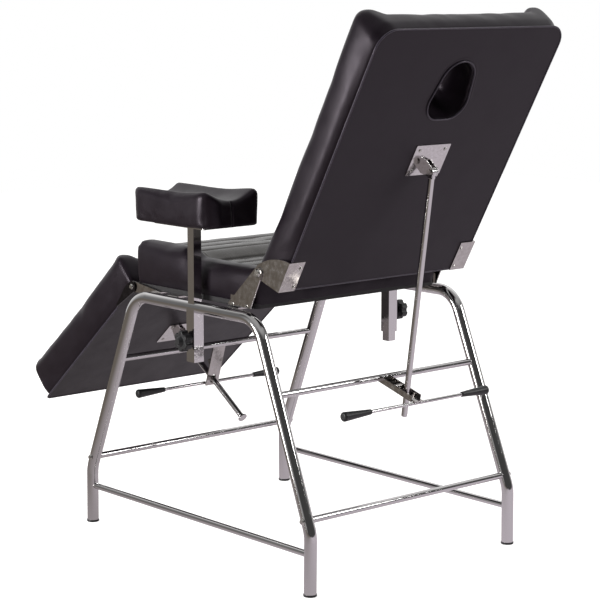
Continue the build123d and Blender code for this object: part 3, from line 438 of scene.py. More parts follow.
@dataclass(frozen=True)
class CoatedFabric(Finish):
    """Soft PVC-coated knit with an embossed leather grain: near black, with a cool sheen."""

    name: str = "embossed_pvc_coated_fabric"
    slot: str = "upholstery"
    colour: str = "140F14"
    mottle_colour: str = "1A141A"
    gloss_colour: str = "F4E6F4"
    roughness: float = 0.34
    specular: float = 0.28
    grain_mm: float = 1.5
    grain_depth_mm: float = 0.25
    grain: float = 0.3
    crumple_mm: float = 55.0
    crumple_depth_mm: float = 1.6
    crumple: float = 0.12

    def surface(self, tree: Tree, shader: Node, place: Socket) -> None:
        """See the base class."""
        drift = noise(tree, place, self.crumple_mm, 5.0, 0.6)
        cells = add_node(tree, "ShaderNodeTexVoronoi",
                         {"Scale": 1 / (self.grain_mm * MM), "Smoothness": 0.6, "Vector": place},
                         feature="SMOOTH_F1").outputs["Distance"]
        crumple = relief(tree, drift, self.crumple, self.crumple_depth_mm)
        fill(tree, shader, {
            "Specular IOR Level": self.specular,
            "Specular Tint": linear(self.gloss_colour),
            "Base Color": blend(tree, drift, self.colour, self.mottle_colour),
            "Roughness": self.uneven(tree, drift),
            "Normal": relief(tree, cells, self.grain, self.grain_depth_mm, crumple)})


@dataclass(frozen=True)
class PanelFabric(CoatedFabric):
    """The coated fabric of the channelled panels: smoother and more specular, so it mirrors the
    room, and lighter in colour as a painted sheen of that reflection.
    """

    name: str = "smooth_pvc_panel_painted_sheen"
    # Lighter than the fabric round it: part of the panels' sheen is painted into these colours.
    colour: str = "1F1B1C"
    mottle_colour: str = "282425"
    gloss_colour: str = "FFFAF2"
    roughness: float = 0.24
    specular: float = 0.55
    crumple: float = 0.08


@dataclass(frozen=True)
class WeltPaintedHighlight(CoatedFabric):
    """The same coated fabric on the welts along the edges and round the hole: shinier, and its
    greyer colour is a painted highlight of the lit edge.
    """

    name: str = "pvc_welt_painted_highlight"
    # These two colours are lighter than the fabric's: a painted highlight along the edges and the
    # hole's rim.
    colour: str = "2E2A32"
    mottle_colour: str = "3C3842"
    specular: float = 0.5
    crumple_mm: float = 18.0


@dataclass(frozen=True)
class MouldedPolymer(Finish):
    """Injection-moulded black polyamide: its fine spark-eroded texture scatters highlights."""

    name: str = "moulded_black_polyamide"
    slot: str = "black_plastic"
    colour: str = "18181A"
    roughness: float = 0.38
    rough_spread: Span = (-0.08, 0.1)
    rough_span: Span = (0.0, 1.0)
    spark_mm: float = 0.7
    spark_depth_mm: float = 0.1
    spark: float = 0.2

    def surface(self, tree: Tree, shader: Node, place: Socket) -> None:
        """See the base class."""
        sparks = noise(tree, place, self.spark_mm, 2.0)
        fill(tree, shader, {
            "Base Color": linear(self.colour),
            "Roughness": self.uneven(tree, sparks),
            "Normal": relief(tree, sparks, self.spark, self.spark_depth_mm)})


@dataclass(frozen=True)
class CoveredPlywood(Finish):
    """Beech plywood stained black: faint long grain under a dull lacquer."""

    name: str = "black_stained_beech_plywood"
    slot: str = "panel"
    colour: str = "1C1B1E"
    grain_colour: str = "2A2727"
    roughness: float = 0.55
    grain_mm: float = 3.0
    grain_share: float = 0.05
    grain_depth_mm: float = 0.2
    grain: float = 0.25

    def surface(self, tree: Tree, shader: Node, place: Socket) -> None:
        """See the base class."""
        lines = noise(tree, stretched(tree, place, self.grain_share), self.grain_mm, 4.0)
        fill(tree, shader, {
            "Base Color": blend(tree, lines, self.colour, self.grain_colour),
            "Roughness": self.roughness,
            "Normal": relief(tree, lines, self.grain, self.grain_depth_mm)})


# Upholstery


class Lie(Enum):
    """How a pad lies: level, leaning back from its lower end, or dropping to the front."""

    LEVEL = (1.0, 0.0)
    RECLINED = (1.0, 1.0)
    DROPPED = (-1.0, -1.0)


@dataclass(frozen=True)
class PadPlace:
    """Where a pad lies: the middle of its flat face's first end, its slope and its lie."""

    y: float
    z: float
    degrees: float
    lie: Lie

    def axes(self) -> np.ndarray:
        """Turn the lie into the pad's own ways.

        Returns:
            The ways across, along and up, one row each.
        """
        turn = math.radians(self.degrees)
        forward, upward = self.lie.value
        run = (0.0, forward * math.cos(turn), upward * math.sin(turn))
        return np.array([(1.0, 0.0, 0.0), run, (0.0, -abs(math.sin(turn)), math.cos(turn))])

    def to_world(self, local: np.ndarray) -> np.ndarray:
        """Turn rows of across, along and up into rows of the model's X, Y and Z."""
        return np.array((0.0, self.y, self.z)) + local @ self.axes()


def round_edges(piece: Piece, radius: float, segments: int,
                wanted: Callable[[Vector, Vector], bool]) -> None:
    """Round the sharp edges whose two ends pass a test.

    Args:
        piece: The object.
        radius: The rounding.
        segments: Faces across it.
        wanted: Takes an edge's lower and higher end and says whether it is rounded.
    """
    only(piece)
    bpy.ops.object.mode_set(mode="EDIT")
    bpy.ops.mesh.select_mode(type="EDGE")
    bpy.ops.mesh.select_all(action="DESELECT")
    shape = bmesh.from_edit_mesh(piece.data)
    for edge in shape.edges:
        low, high = sorted((v.co for v in edge.verts), key=lambda co: co.z)
        sharp = len(edge.link_faces) == 2 and edge.calc_face_angle(0) > SHARP
        edge.select = sharp and wanted(low, high)
    bmesh.update_edit_mesh(piece.data)
    bpy.ops.mesh.bevel(offset=radius, segments=segments, affect="EDGES")
    bpy.ops.object.mode_set(mode="OBJECT")


def evened(piece: Piece, moves: np.ndarray, rounds: int) -> np.ndarray:
    """Average each vertex's move with its neighbours', so that the cover stays taut.

    Args:
        piece: The mesh whose edges say which vertices are neighbours.
        moves: One row for each vertex.
        rounds: How often it is done.

    Returns:
        The evened moves.
    """
    count = len(piece.data.vertices)
    pairs = np.zeros(2 * len(piece.data.edges), dtype=np.int64)
    piece.data.edges.foreach_get("vertices", pairs)
    first, second = pairs.reshape(-1, 2).T
    neighbours = np.maximum(np.bincount(pairs, minlength=count), 1)
    for _ in range(rounds):
        total = np.column_stack([np.bincount(first, moves[second, axis], count)
                                 + np.bincount(second, moves[first, axis], count)
                                 for axis in range(3)])
        moves = (moves + total / neighbours[:, None]) / 2
    return moves


@dataclass(frozen=True)
class AirPressure:
    """The foam's push on its cover, as a short cloth simulation."""

    pressure: float = 4.0
    mass: float = 0.3
    stiffness: float = 18.0
    bending: float = 2.5
    growth: float = 0.012
    quality: int = 4
    frames: int = 20
    cap: float = 6 * MM
    evening: int = 24
    crumple_evening: int = 3
    crumple_share: float = 0.12

    def swell(self, piece: Piece, held: np.ndarray) -> None:
        """Swell the cover, then keep the movement within the cap and nearly free of creases.

        Args:
            piece: The pad.
            held: True for each vertex that is sewn or stapled down.
        """
        start = coordinates(piece)
        group = piece.vertex_groups.new(name="held")
        group.add(np.nonzero(held)[0].tolist(), 1.0, "REPLACE")
        only(piece)
        cloth = piece.modifiers.new("Cloth", "CLOTH")
        options = cloth.settings
        options.quality = self.quality
        options.mass = self.mass
        options.tension_stiffness = self.stiffness
        options.compression_stiffness = self.stiffness
        options.shear_stiffness = self.stiffness / 2
        options.bending_stiffness = self.bending
        options.use_pressure = True
        options.uniform_pressure_force = self.pressure
        options.shrink_min = -self.growth
        options.vertex_group_mass = "held"
        options.effector_weights.gravity = 0
        cloth.collision_settings.use_collision = False
        cloth.collision_settings.use_self_collision = False
        cloth.point_cache.frame_start = 1
        cloth.point_cache.frame_end = self.frames
        for step in range(1, self.frames + 1):
            bpy.context.scene.frame_set(step)
        bpy.ops.object.modifier_apply(modifier=cloth.name)
        bpy.context.scene.frame_set(1)
        moves = coordinates(piece) - start
        far = np.linalg.norm(moves, axis=1, keepdims=True)
        moves *= np.minimum(1, self.cap / np.maximum(far, TINY))
        smooth = evened(piece, moves, self.evening)
        creases = evened(piece, moves, self.crumple_evening) - smooth
        set_coordinates(piece, start + smooth + self.crumple_share * creases)
        piece.vertex_groups.clear()


@dataclass(frozen=True)
class FaceHole:
    """An egg-shaped hole through a pad, wider at the chin, with a rolled rim on both faces."""

    brow_along: float
    brow_radius: float
    chin_along: float
    chin_across: float
    chin_radius: float
    rear_roll: float = 4 * MM
    front_roll: float = 22 * MM
    roll_width: float = 24 * MM
    roll_span: Span = (0.1, 0.8)
    rim_width: float = 16 * MM
    rim_height: float = 2.5 * MM
    rim_depth: float = 6 * MM
    ways: int = 96

    def support(self) -> tuple[np.ndarray, np.ndarray, np.ndarray]:
        """Find the arc that bounds the hole in each way round it.

        Returns:
            The ways, and the middle and the radius of each one's arc.
        """
        turns = np.linspace(0, 2 * math.pi, self.ways, endpoint=False)
        ways = np.column_stack((np.cos(turns), np.sin(turns)))
        middles = np.array([(0.0, self.brow_along), (self.chin_across, self.chin_along),
                            (-self.chin_across, self.chin_along)])
        radii = np.array([self.brow_radius, self.chin_radius, self.chin_radius])
        best = np.argmax(ways @ middles.T + radii, axis=1)
        return ways, middles[best], radii[best]

    def outline(self, outside: float) -> np.ndarray:
        """Points round the hole at one distance outside its wall."""
        ways, middles, radii = self.support()
        return middles + ways * (radii + outside)[:, None]

    def reach(self, local: np.ndarray) -> tuple[np.ndarray, np.ndarray]:
        """Measure from the hole's wall.

        Args:
            local: Points of the pad.

        Returns:
            How far each point is outside the wall, and the way out from the wall there.
        """
        ways, middles, radii = self.support()
        gaps = local[:, :2] @ ways.T - (np.sum(ways * middles, axis=1) + radii)
        best = np.argmax(gaps, axis=1)
        return gaps[np.arange(len(local)), best], ways[best]

    def roll_in(self, local: np.ndarray, top: float) -> None:
        """Roll the rims over the hole, more on the face's side, and raise the one at the back.

        Args:
            local: Points of the pad, which are moved.
            top: The pad's height.
        """
        gap, outward = self.reach(local)
        near = np.exp(-(np.maximum(gap, 0) / self.roll_width) ** 2)
        share = np.clip(local[:, 2] / top, 0, 1)
        inward = self.rear_roll + ((self.front_roll - self.rear_roll)
                                   * smooth_step(share, *self.roll_span))
        local[:, :2] -= outward * (inward * near)[:, None]
        ring = np.exp(-((gap - self.rim_width / 2) / (self.rim_width / 2)) ** 2)
        local[:, 2] -= self.rim_height * ring * (local[:, 2] < self.rim_depth)


@dataclass
class ChannelledPad:
    """A foam pad under coated fabric, with channels sewn across it between two plain bolsters.

    It is worked on in its local places: across, along and up from its flat face's first end.
    """

    name: str
    body: str
    nodes: tuple[str, ...]
    place: PadPlace
    length: float
    height: float
    finish: Finish
    welt_finish: Finish
    panel_finish: Finish
    dish: float
    low_height: float = 0.0
    fall_shares: Span = (0.38, 0.52)
    hole: FaceHole | None = None
    covered: bool = True
    far_corner: float = 8 * MM
    near_corner: float = 8 * MM
    foot_corner: float = 12 * MM
    half_width: float = 282 * MM
    edge_radius: float = 24 * MM
    foot_radius: float = 1.5 * MM
    foot_draw_in: float = 3 * MM
    foot_share: float = 0.3
    square_share: float = 0.8
    end_dish: float = 0.8
    end_reach: float = 130 * MM
    border: float = 58 * MM
    bolster_lead: float = 6 * MM
    bolster_slope: float = 22 * MM
    channels: int = 8
    groove: float = 4.5 * MM
    groove_width: float = 3.2 * MM
    side_groove: float = 0.8
    seam_end: float = 4 * MM
    stitched: Span = (0.5, 0.75)
    puff: float = 2.2 * MM
    puff_power: float = 0.8
    panel_share: float = 0.6
    panel_fade: Span = (-3 * MM, 1 * MM)
    rim_free: float = 4 * MM
    rim_fade: Span = (2 * MM, 14 * MM)
    sewn_share: float = 0.7
    sewn_reach: float = 0.6
    stapled: float = 8 * MM
    voxel: float = 6 * MM
    shrink_first: float = 2 * MM
    fill: float = 0.9
    cover: float = 3 * MM
    cover_sink: float = 0.3
    cover_lap: float = 1 * MM
    welt_radius: float = 2.1 * MM
    welt_inset: float = 1 * MM
    welt_lap: float = 2 * MM
    welt_sink: float = 0.6
    foam: AirPressure = AirPressure()

    def line(self, along: np.ndarray) -> np.ndarray:
        """Give the pad's height.

        Args:
            along: Places along the pad.

        Returns:
            The height at each.
        """
        first, last = (share * self.length for share in self.fall_shares)
        low = self.low_height or self.height
        return self.height - (self.height - low) * smooth_step(along, first, last)

    def block(self) -> Piece:
        """Add the block, round its edges, cut its hole and give it an even mesh.

        Returns:
            The block.
        """
        top, inset = self.height, self.shrink_first
        middle = self.length / 2
        piece = add_shape(bpy.ops.mesh.primitive_cube_add, size=1, location=(0, middle, top / 2))
        piece.name = self.name
        resize(piece, 2 * (self.half_width - inset), self.length - 2 * inset, top - inset)
        round_edges(piece, self.far_corner, 8,
                    lambda low, high: high.z - low.z > top / 2 and low.y > middle)
        round_edges(piece, self.near_corner, 6,
                    lambda low, high: high.z - low.z > top / 2 and high.y < middle)
        round_edges(piece, self.edge_radius, 6, lambda low, high: low.z > top / 2)
        round_edges(piece, self.foot_radius, 1, lambda low, high: high.z < top / 4)
        if self.hole:
            self.cut_hole(piece)
        even_mesh(piece, self.voxel)
        return piece

    def cut_hole(self, piece: Piece, outside: float = 0.0) -> None:
        """Cut the face hole out of a solid.

        Args:
            piece: The solid.
            outside: How much wider than the hole the cut is on each side.
        """
        cutter = add_shape(bpy.ops.mesh.primitive_cylinder_add, vertices=self.hole.ways,
                           radius=1, depth=3 * self.height)
        points = coordinates(cutter)
        turns = np.arctan2(points[:, 1], points[:, 0])
        nearest = np.round(turns / (2 * math.pi) * self.hole.ways).astype(int) % self.hole.ways
        points[:, :2] = self.hole.outline(outside)[nearest]
        set_coordinates(cutter, points)
        apply_modifier(piece, "BOOLEAN", operation="DIFFERENCE", object=cutter, solver="EXACT")
        bpy.data.objects.remove(cutter)

    def sculpt(self, piece: Piece) -> None:
        """Give the block its height line, its raised bolsters and its drawn-in foot.

        Args:
            piece: The block.
        """
        local = coordinates(piece)
        share = np.clip(local[:, 2] / self.height, 0, 1)
        local[:, 2] *= self.line(local[:, 1]) / self.height
        line = self.half_width - self.border
        inside = 1 - smooth_step(np.abs(local[:, 0]), line - self.bolster_lead,
                                 line + self.bolster_slope)
        ends = self.end_dish * smooth_step(local[:, 1], self.length - self.end_reach, self.length)
        local[:, 2] -= self.dish * (1 + ends) * inside * smooth_step(share, self.foot_share, 1.0)
        self.narrow_corners(local, share)
        foot = self.foot_draw_in * (1 - smooth_step(share, 0.0, self.foot_share))
        local[:, 0] *= 1 - foot / self.half_width
        local[:, 1] += foot * (1 - 2 * local[:, 1] / self.length)
        if self.hole:
            self.hole.roll_in(local, self.height)
        set_coordinates(piece, local)

    def narrow_corners(self, local: np.ndarray, share: np.ndarray) -> None:
        """Draw the far corners in towards the rounder board, more the nearer they are to it.

        Args:
            local: Points of the pad, which are moved.
            share: How high each is, from 0 at the board to 1 at the top.
        """
        radius = self.foot_corner + ((self.far_corner - self.foot_corner)
                                     * smooth_step(share, 0.0, self.square_share))
        across = np.abs(local[:, 0]) - (self.half_width - self.shrink_first - radius)
        along = local[:, 1] - (self.length - self.shrink_first - radius)
        far = np.hypot(across, along)
        outside = (across > 0) & (along > 0) & (far > radius)
        excess = np.where(outside, 1 - radius / np.maximum(far, TINY), 0)
        local[:, 0] -= np.sign(local[:, 0]) * across * excess
        local[:, 1] -= along * excess

    def seams(self) -> np.ndarray:
        """Where the sewn lines cross the pad, along its length."""
        return np.linspace(self.edge_radius, self.length - self.edge_radius, self.channels + 1)

    def held(self, local: np.ndarray) -> np.ndarray:
        """Find the points that are stapled to the board or sewn through the foam.

        Args:
            local: Points of the pad.

        Returns:
            True for each that is held.
        """
        reach = self.voxel * self.sewn_reach
        upper = local[:, 2] > self.line(local[:, 1]) * self.sewn_share
        line = self.half_width - self.border
        across = upper & (np.abs(local[:, 0]) < line)
        nearest = np.min(np.abs(local[:, 1:2] - self.seams()), axis=1)
        within = (local[:, 1] > self.edge_radius) & (local[:, 1] < self.length - self.edge_radius)
        along = upper & within & (np.abs(np.abs(local[:, 0]) - line) < reach)
        return (local[:, 2] < self.stapled) | (across & (nearest < reach)) | along

    def fit(self, piece: Piece) -> None:
        """Draw the cover out to the pad's sewn size.

        Args:
            piece: The pad.
        """
        local = coordinates(piece)
        local[:, 0] *= self.half_width / np.max(np.abs(local[:, 0]))
        low, high = local[:, 1].min(), local[:, 1].max()
        local[:, 1] = (local[:, 1] - low) * self.length / (high - low)
        local[:, 2] *= self.height / local[:, 2].max()
        set_coordinates(piece, local)

    def panel_faces(self, piece: Piece) -> np.ndarray:
        """Tell the channelled panel from the plain cover round it.

        Args:
            piece: The pad.

        Returns:
            One for each face of the panel, and zero for each other face.
        """
        middles = np.zeros(3 * len(piece.data.polygons))
        piece.data.polygons.foreach_get("center", middles)
        middles = middles.reshape(-1, 3)
        seams = self.seams()
        inside = ((middles[:, 2] > self.panel_share * self.line(middles[:, 1]))
                  & (np.abs(middles[:, 0]) < self.half_width - self.border)
                  & (middles[:, 1] > seams[0]) & (middles[:, 1] < seams[-1]))
        if self.hole:
            inside &= self.hole.reach(middles)[0] > self.rim_free
        return inside.astype(np.int32)

    def sew(self, piece: Piece) -> None:
        """Pull the sewn lines in, and puff the channels between them.

        Args:
            piece: The pad.
        """
        local = coordinates(piece)
        upper = smooth_step(local[:, 2] / self.line(local[:, 1]), *self.stitched)
        if self.hole:
            upper *= smooth_step(self.hole.reach(local)[0], *self.rim_fade)
        line = self.half_width - self.border
        between = 1 - smooth_step(np.abs(local[:, 0]), line + self.panel_fade[0],
                                  line + self.panel_fade[1])
        seams = self.seams()
        phase = (local[:, 1] - seams[0]) / (seams[1] - seams[0])
        inside = (phase > 0) & (phase < self.channels)
        puffed = np.abs(np.sin(math.pi * phase)) ** self.puff_power
        drop = -self.puff * np.where(inside, puffed, 0)
        nearest = np.min(np.abs(local[:, 1:2] - seams), axis=1)
        drop += self.groove * np.exp(-(nearest / self.groove_width) ** 2)
        drop *= between
        along = (smooth_step(local[:, 1], seams[0] - self.seam_end, seams[0])
                 * (1 - smooth_step(local[:, 1], seams[-1], seams[-1] + self.seam_end)))
        beside = np.abs(np.abs(local[:, 0]) - line)
        drop += self.groove * self.side_groove * along * np.exp(-(beside / self.groove_width) ** 2)
        local[:, 2] -= drop * upper
        set_coordinates(piece, local)

    def settle(self, piece: Piece, finish: Finish, angle: float | None = None) -> None:
        """Move a piece from the pad's local places into the model, dress it and let it ride.

        Args:
            piece: The piece.
            finish: What it wears.
            angle: The largest angle between faces that is shaded smooth, or None for any.
        """
        set_coordinates(piece, self.place.to_world(coordinates(piece)))
        only(piece)
        bpy.ops.object.mode_set(mode="EDIT")
        bpy.ops.mesh.select_all(action="SELECT")
        bpy.ops.mesh.normals_make_consistent(inside=False)
        bpy.ops.object.mode_set(mode="OBJECT")
        shade(piece, angle)
        finish.put_on(piece)
        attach(piece, self.body)

    def tube(self, name: str, piece: Piece, depth: float) -> None:
        """Turn a flat outline into a thin welt, put it on the pad's flat face and dress it.

        Args:
            name: The welt's name.
            piece: The outline, with or without a face, in the pad's local places.
            depth: The height of the welt's middle over the flat face.
        """
        only(piece)
        bpy.ops.object.mode_set(mode="EDIT")
        bpy.ops.mesh.select_all(action="SELECT")
        bpy.ops.mesh.delete(type="ONLY_FACE")
        bpy.ops.object.mode_set(mode="OBJECT")
        bpy.ops.object.convert(target="CURVE")
        piece.data.bevel_depth = self.welt_radius
        piece.data.bevel_resolution = 2
        bpy.ops.object.convert(target="MESH")
        points = coordinates(piece)
        points[:, 2] += depth
        set_coordinates(piece, points)
        piece.name = name
        self.settle(piece, self.welt_finish)

    def sheet(self, gap: float) -> Piece:
        """Add a flat sheet with the corners of the pad's flat face.

        Args:
            gap: How far it ends inside that face's edge.

        Returns:
            The sheet in the pad's local places.
        """
        piece = add_shape(bpy.ops.mesh.primitive_plane_add, size=1,
                          location=(0, self.length / 2, 0))
        resize(piece, 2 * (self.half_width - gap), self.length - 2 * gap, 1)
        for radius, far in ((self.foot_corner, True), (self.near_corner, False)):
            bpy.ops.object.mode_set(mode="EDIT")
            bpy.ops.mesh.select_mode(type="VERT")
            shape = bmesh.from_edit_mesh(piece.data)
            for vertex in shape.verts:
                vertex.select = (vertex.co.y > self.length / 2) == far
            shape.select_flush_mode()
            bmesh.update_edit_mesh(piece.data)
            bpy.ops.mesh.bevel(offset=radius, segments=8, affect="VERTICES")
            bpy.ops.object.mode_set(mode="OBJECT")
        return piece

    def back_cover(self) -> None:
        """Add the thin lining board under fabric that closes the pad's flat face, and its welts."""
        piece = self.sheet(self.foot_draw_in)
        piece.name = f"{self.name}_back_cover"
        apply_modifier(piece, "SOLIDIFY", thickness=self.cover, offset=0.0)
        apply_modifier(piece, "BEVEL", width=self.cover / 3, segments=2, limit_method="ANGLE")
        points = coordinates(piece)
        points[:, 2] += self.cover * self.cover_sink
        set_coordinates(piece, points)
        if self.hole:
            self.cut_hole(piece, self.cover_lap - self.hole.rear_roll)
        self.settle(piece, self.finish, CREASED)
        self.tube(f"{self.name}_edge_welt", self.sheet(self.foot_draw_in + self.welt_inset), 0.0)
        if self.hole:
            ring = add_shape(bpy.ops.mesh.primitive_circle_add, vertices=self.hole.ways,
                             radius=1, fill_type="NOTHING")
            outline = self.hole.outline(self.welt_lap - self.hole.rear_roll)
            set_coordinates(ring, np.column_stack((outline, np.zeros(self.hole.ways))))
            self.tube(f"{self.name}_hole_welt", ring, -self.hole.rim_height * self.welt_sink)

    def build(self) -> Piece:
        """Build the pad, put it in place and dress it.

        Returns:
            The finished piece.
        """
        piece = self.block()
        self.sculpt(piece)
        self.foam.swell(piece, self.held(coordinates(piece)))
        self.fit(piece)
        apply_modifier(piece, "SUBSURF", levels=1, render_levels=1)
        panel = self.panel_faces(piece)
        self.sew(piece)
        self.settle(piece, self.finish)
        piece.data.materials.append(self.panel_finish.material())
        piece.data.polygons.foreach_set("material_index", panel)
        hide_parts(*self.nodes)
        if self.covered:
            self.back_cover()
        return piece


@dataclass
class ArmrestPad:
    """A padded gutter for an arm: two crests along a plate, with a wide valley between them."""

    name: str
    body: str
    node: str
    middle: Point
    outward: float
    finish: Finish
    width: float = 145 * MM
    length: float = 290 * MM
    crest: float = 78 * MM
    valley: float = 55 * MM
    outer_corner: float = 38 * MM
    inner_corner: float = 8 * MM
    top_radius: float = 12 * MM
    foot_radius: float = 6 * MM
    rear_lift: float = 7 * MM
    foot_lift: float = 0.3
    lift_start: float = 0.12
    dip_span: Span = (0.25, 0.95)
    seam_depth: float = 3 * MM
    seam_width: float = 2.5 * MM
    seam_fade: Span = (14 * MM, 4 * MM)
    stapled: float = 5 * MM
    shrink_first: float = 1 * MM
    voxel: float = 4 * MM
    foam: AirPressure = AirPressure(cap=2.5 * MM, evening=10)

    def build(self) -> Piece:
        """Build the pad, put it in place and dress it.

        Returns:
            The finished piece.
        """
        upright, inset = self.crest / 2, self.shrink_first
        piece = add_shape(bpy.ops.mesh.primitive_cube_add, size=1, location=(0, 0, upright))
        piece.name = self.name
        resize(piece, self.width - 2 * inset, self.length - 2 * inset, self.crest - inset)
        round_edges(piece, self.outer_corner, 8,
                    lambda low, high: high.z - low.z > upright and low.x * self.outward > 0)
        round_edges(piece, self.inner_corner, 4,
                    lambda low, high: high.z - low.z > upright and low.x * self.outward < 0)
        round_edges(piece, self.top_radius, 5, lambda low, high: low.z > self.crest * 0.8)
        round_edges(piece, self.foot_radius, 3, lambda low, high: high.z < self.crest * 0.2)
        even_mesh(piece, self.voxel)
        local = coordinates(piece)
        across = np.clip(np.abs(local[:, 0]) / (self.width / 2 - self.top_radius), 0, 1)
        dip = (self.crest - self.valley) * (1 - across ** 2)
        local[:, 2] -= dip * smooth_step(local[:, 2] / self.crest, *self.dip_span)
        set_coordinates(piece, local)
        self.foam.swell(piece, local[:, 2] < self.stapled)
        apply_modifier(piece, "SUBSURF", levels=1, render_levels=1)
        self.sew(piece)
        local = coordinates(piece)
        share = self.foot_lift + (1 - self.foot_lift) * local[:, 2] / self.crest
        local[:, 2] += self.rear_lift * share * smooth_step(local[:, 1] / self.length,
                                                            self.lift_start, 0.5)
        set_coordinates(piece, local + np.array(self.middle))
        shade(piece)
        self.finish.put_on(piece)
        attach(piece, self.body)
        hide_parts(self.node)
        return piece

    def sew(self, piece: Piece) -> None:
        """Pull in the seam that closes the cover down the middle of each end.

        Args:
            piece: The pad.
        """
        local = coordinates(piece)
        first, last = (self.length / 2 - before for before in self.seam_fade)
        end = smooth_step(np.abs(local[:, 1]), first, last)
        seam = np.exp(-((local[:, 0] - self.outward * self.seam_width) / self.seam_width) ** 2)
        local[:, 1] -= np.sign(local[:, 1]) * self.seam_depth * end * seam
        set_coordinates(piece, local)


# Carried-over steel and plastic


@dataclass
class CarriedParts:
    """The CAD nodes whose shape is right, with the finish that each gets."""

    finish: Finish
    nodes: tuple[str, ...]

    def build(self) -> int:
        """Put the finish on each node.

        Returns:
            How many nodes there were.
        """
        for name in self.nodes:
            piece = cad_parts[name]
            self.finish.put_on(piece)
            shade(piece, ROUNDED)
        return len(self.nodes)


# Studio


@dataclass(frozen=True)
class Softbox:
    """A square lamp, which bright metal shows only if it is mirrored."""

    name: str
    place: Point
    size: float
    watts: float
    mirrored: bool

    def hang(self, aim: Vector) -> None:
        """Add the lamp.

        Args:
            aim: The point that it faces.
        """
        data = bpy.data.lights.new(self.name, "AREA")
        data.size = self.size
        data.energy = self.watts
        piece = bpy.data.objects.new(self.name, data)
        piece.location = self.place
        piece.visible_glossy = self.mirrored
        piece.rotation_euler = (aim - Vector(self.place)).to_track_quat("-Z", "Y").to_euler()
        bpy.context.scene.collection.objects.link(piece)


@dataclass(frozen=True)
class Glow:
    """A bright side of the room: the way to it, where it begins and is full, and its strength."""

    way: Point
    span: Span
    strength: float


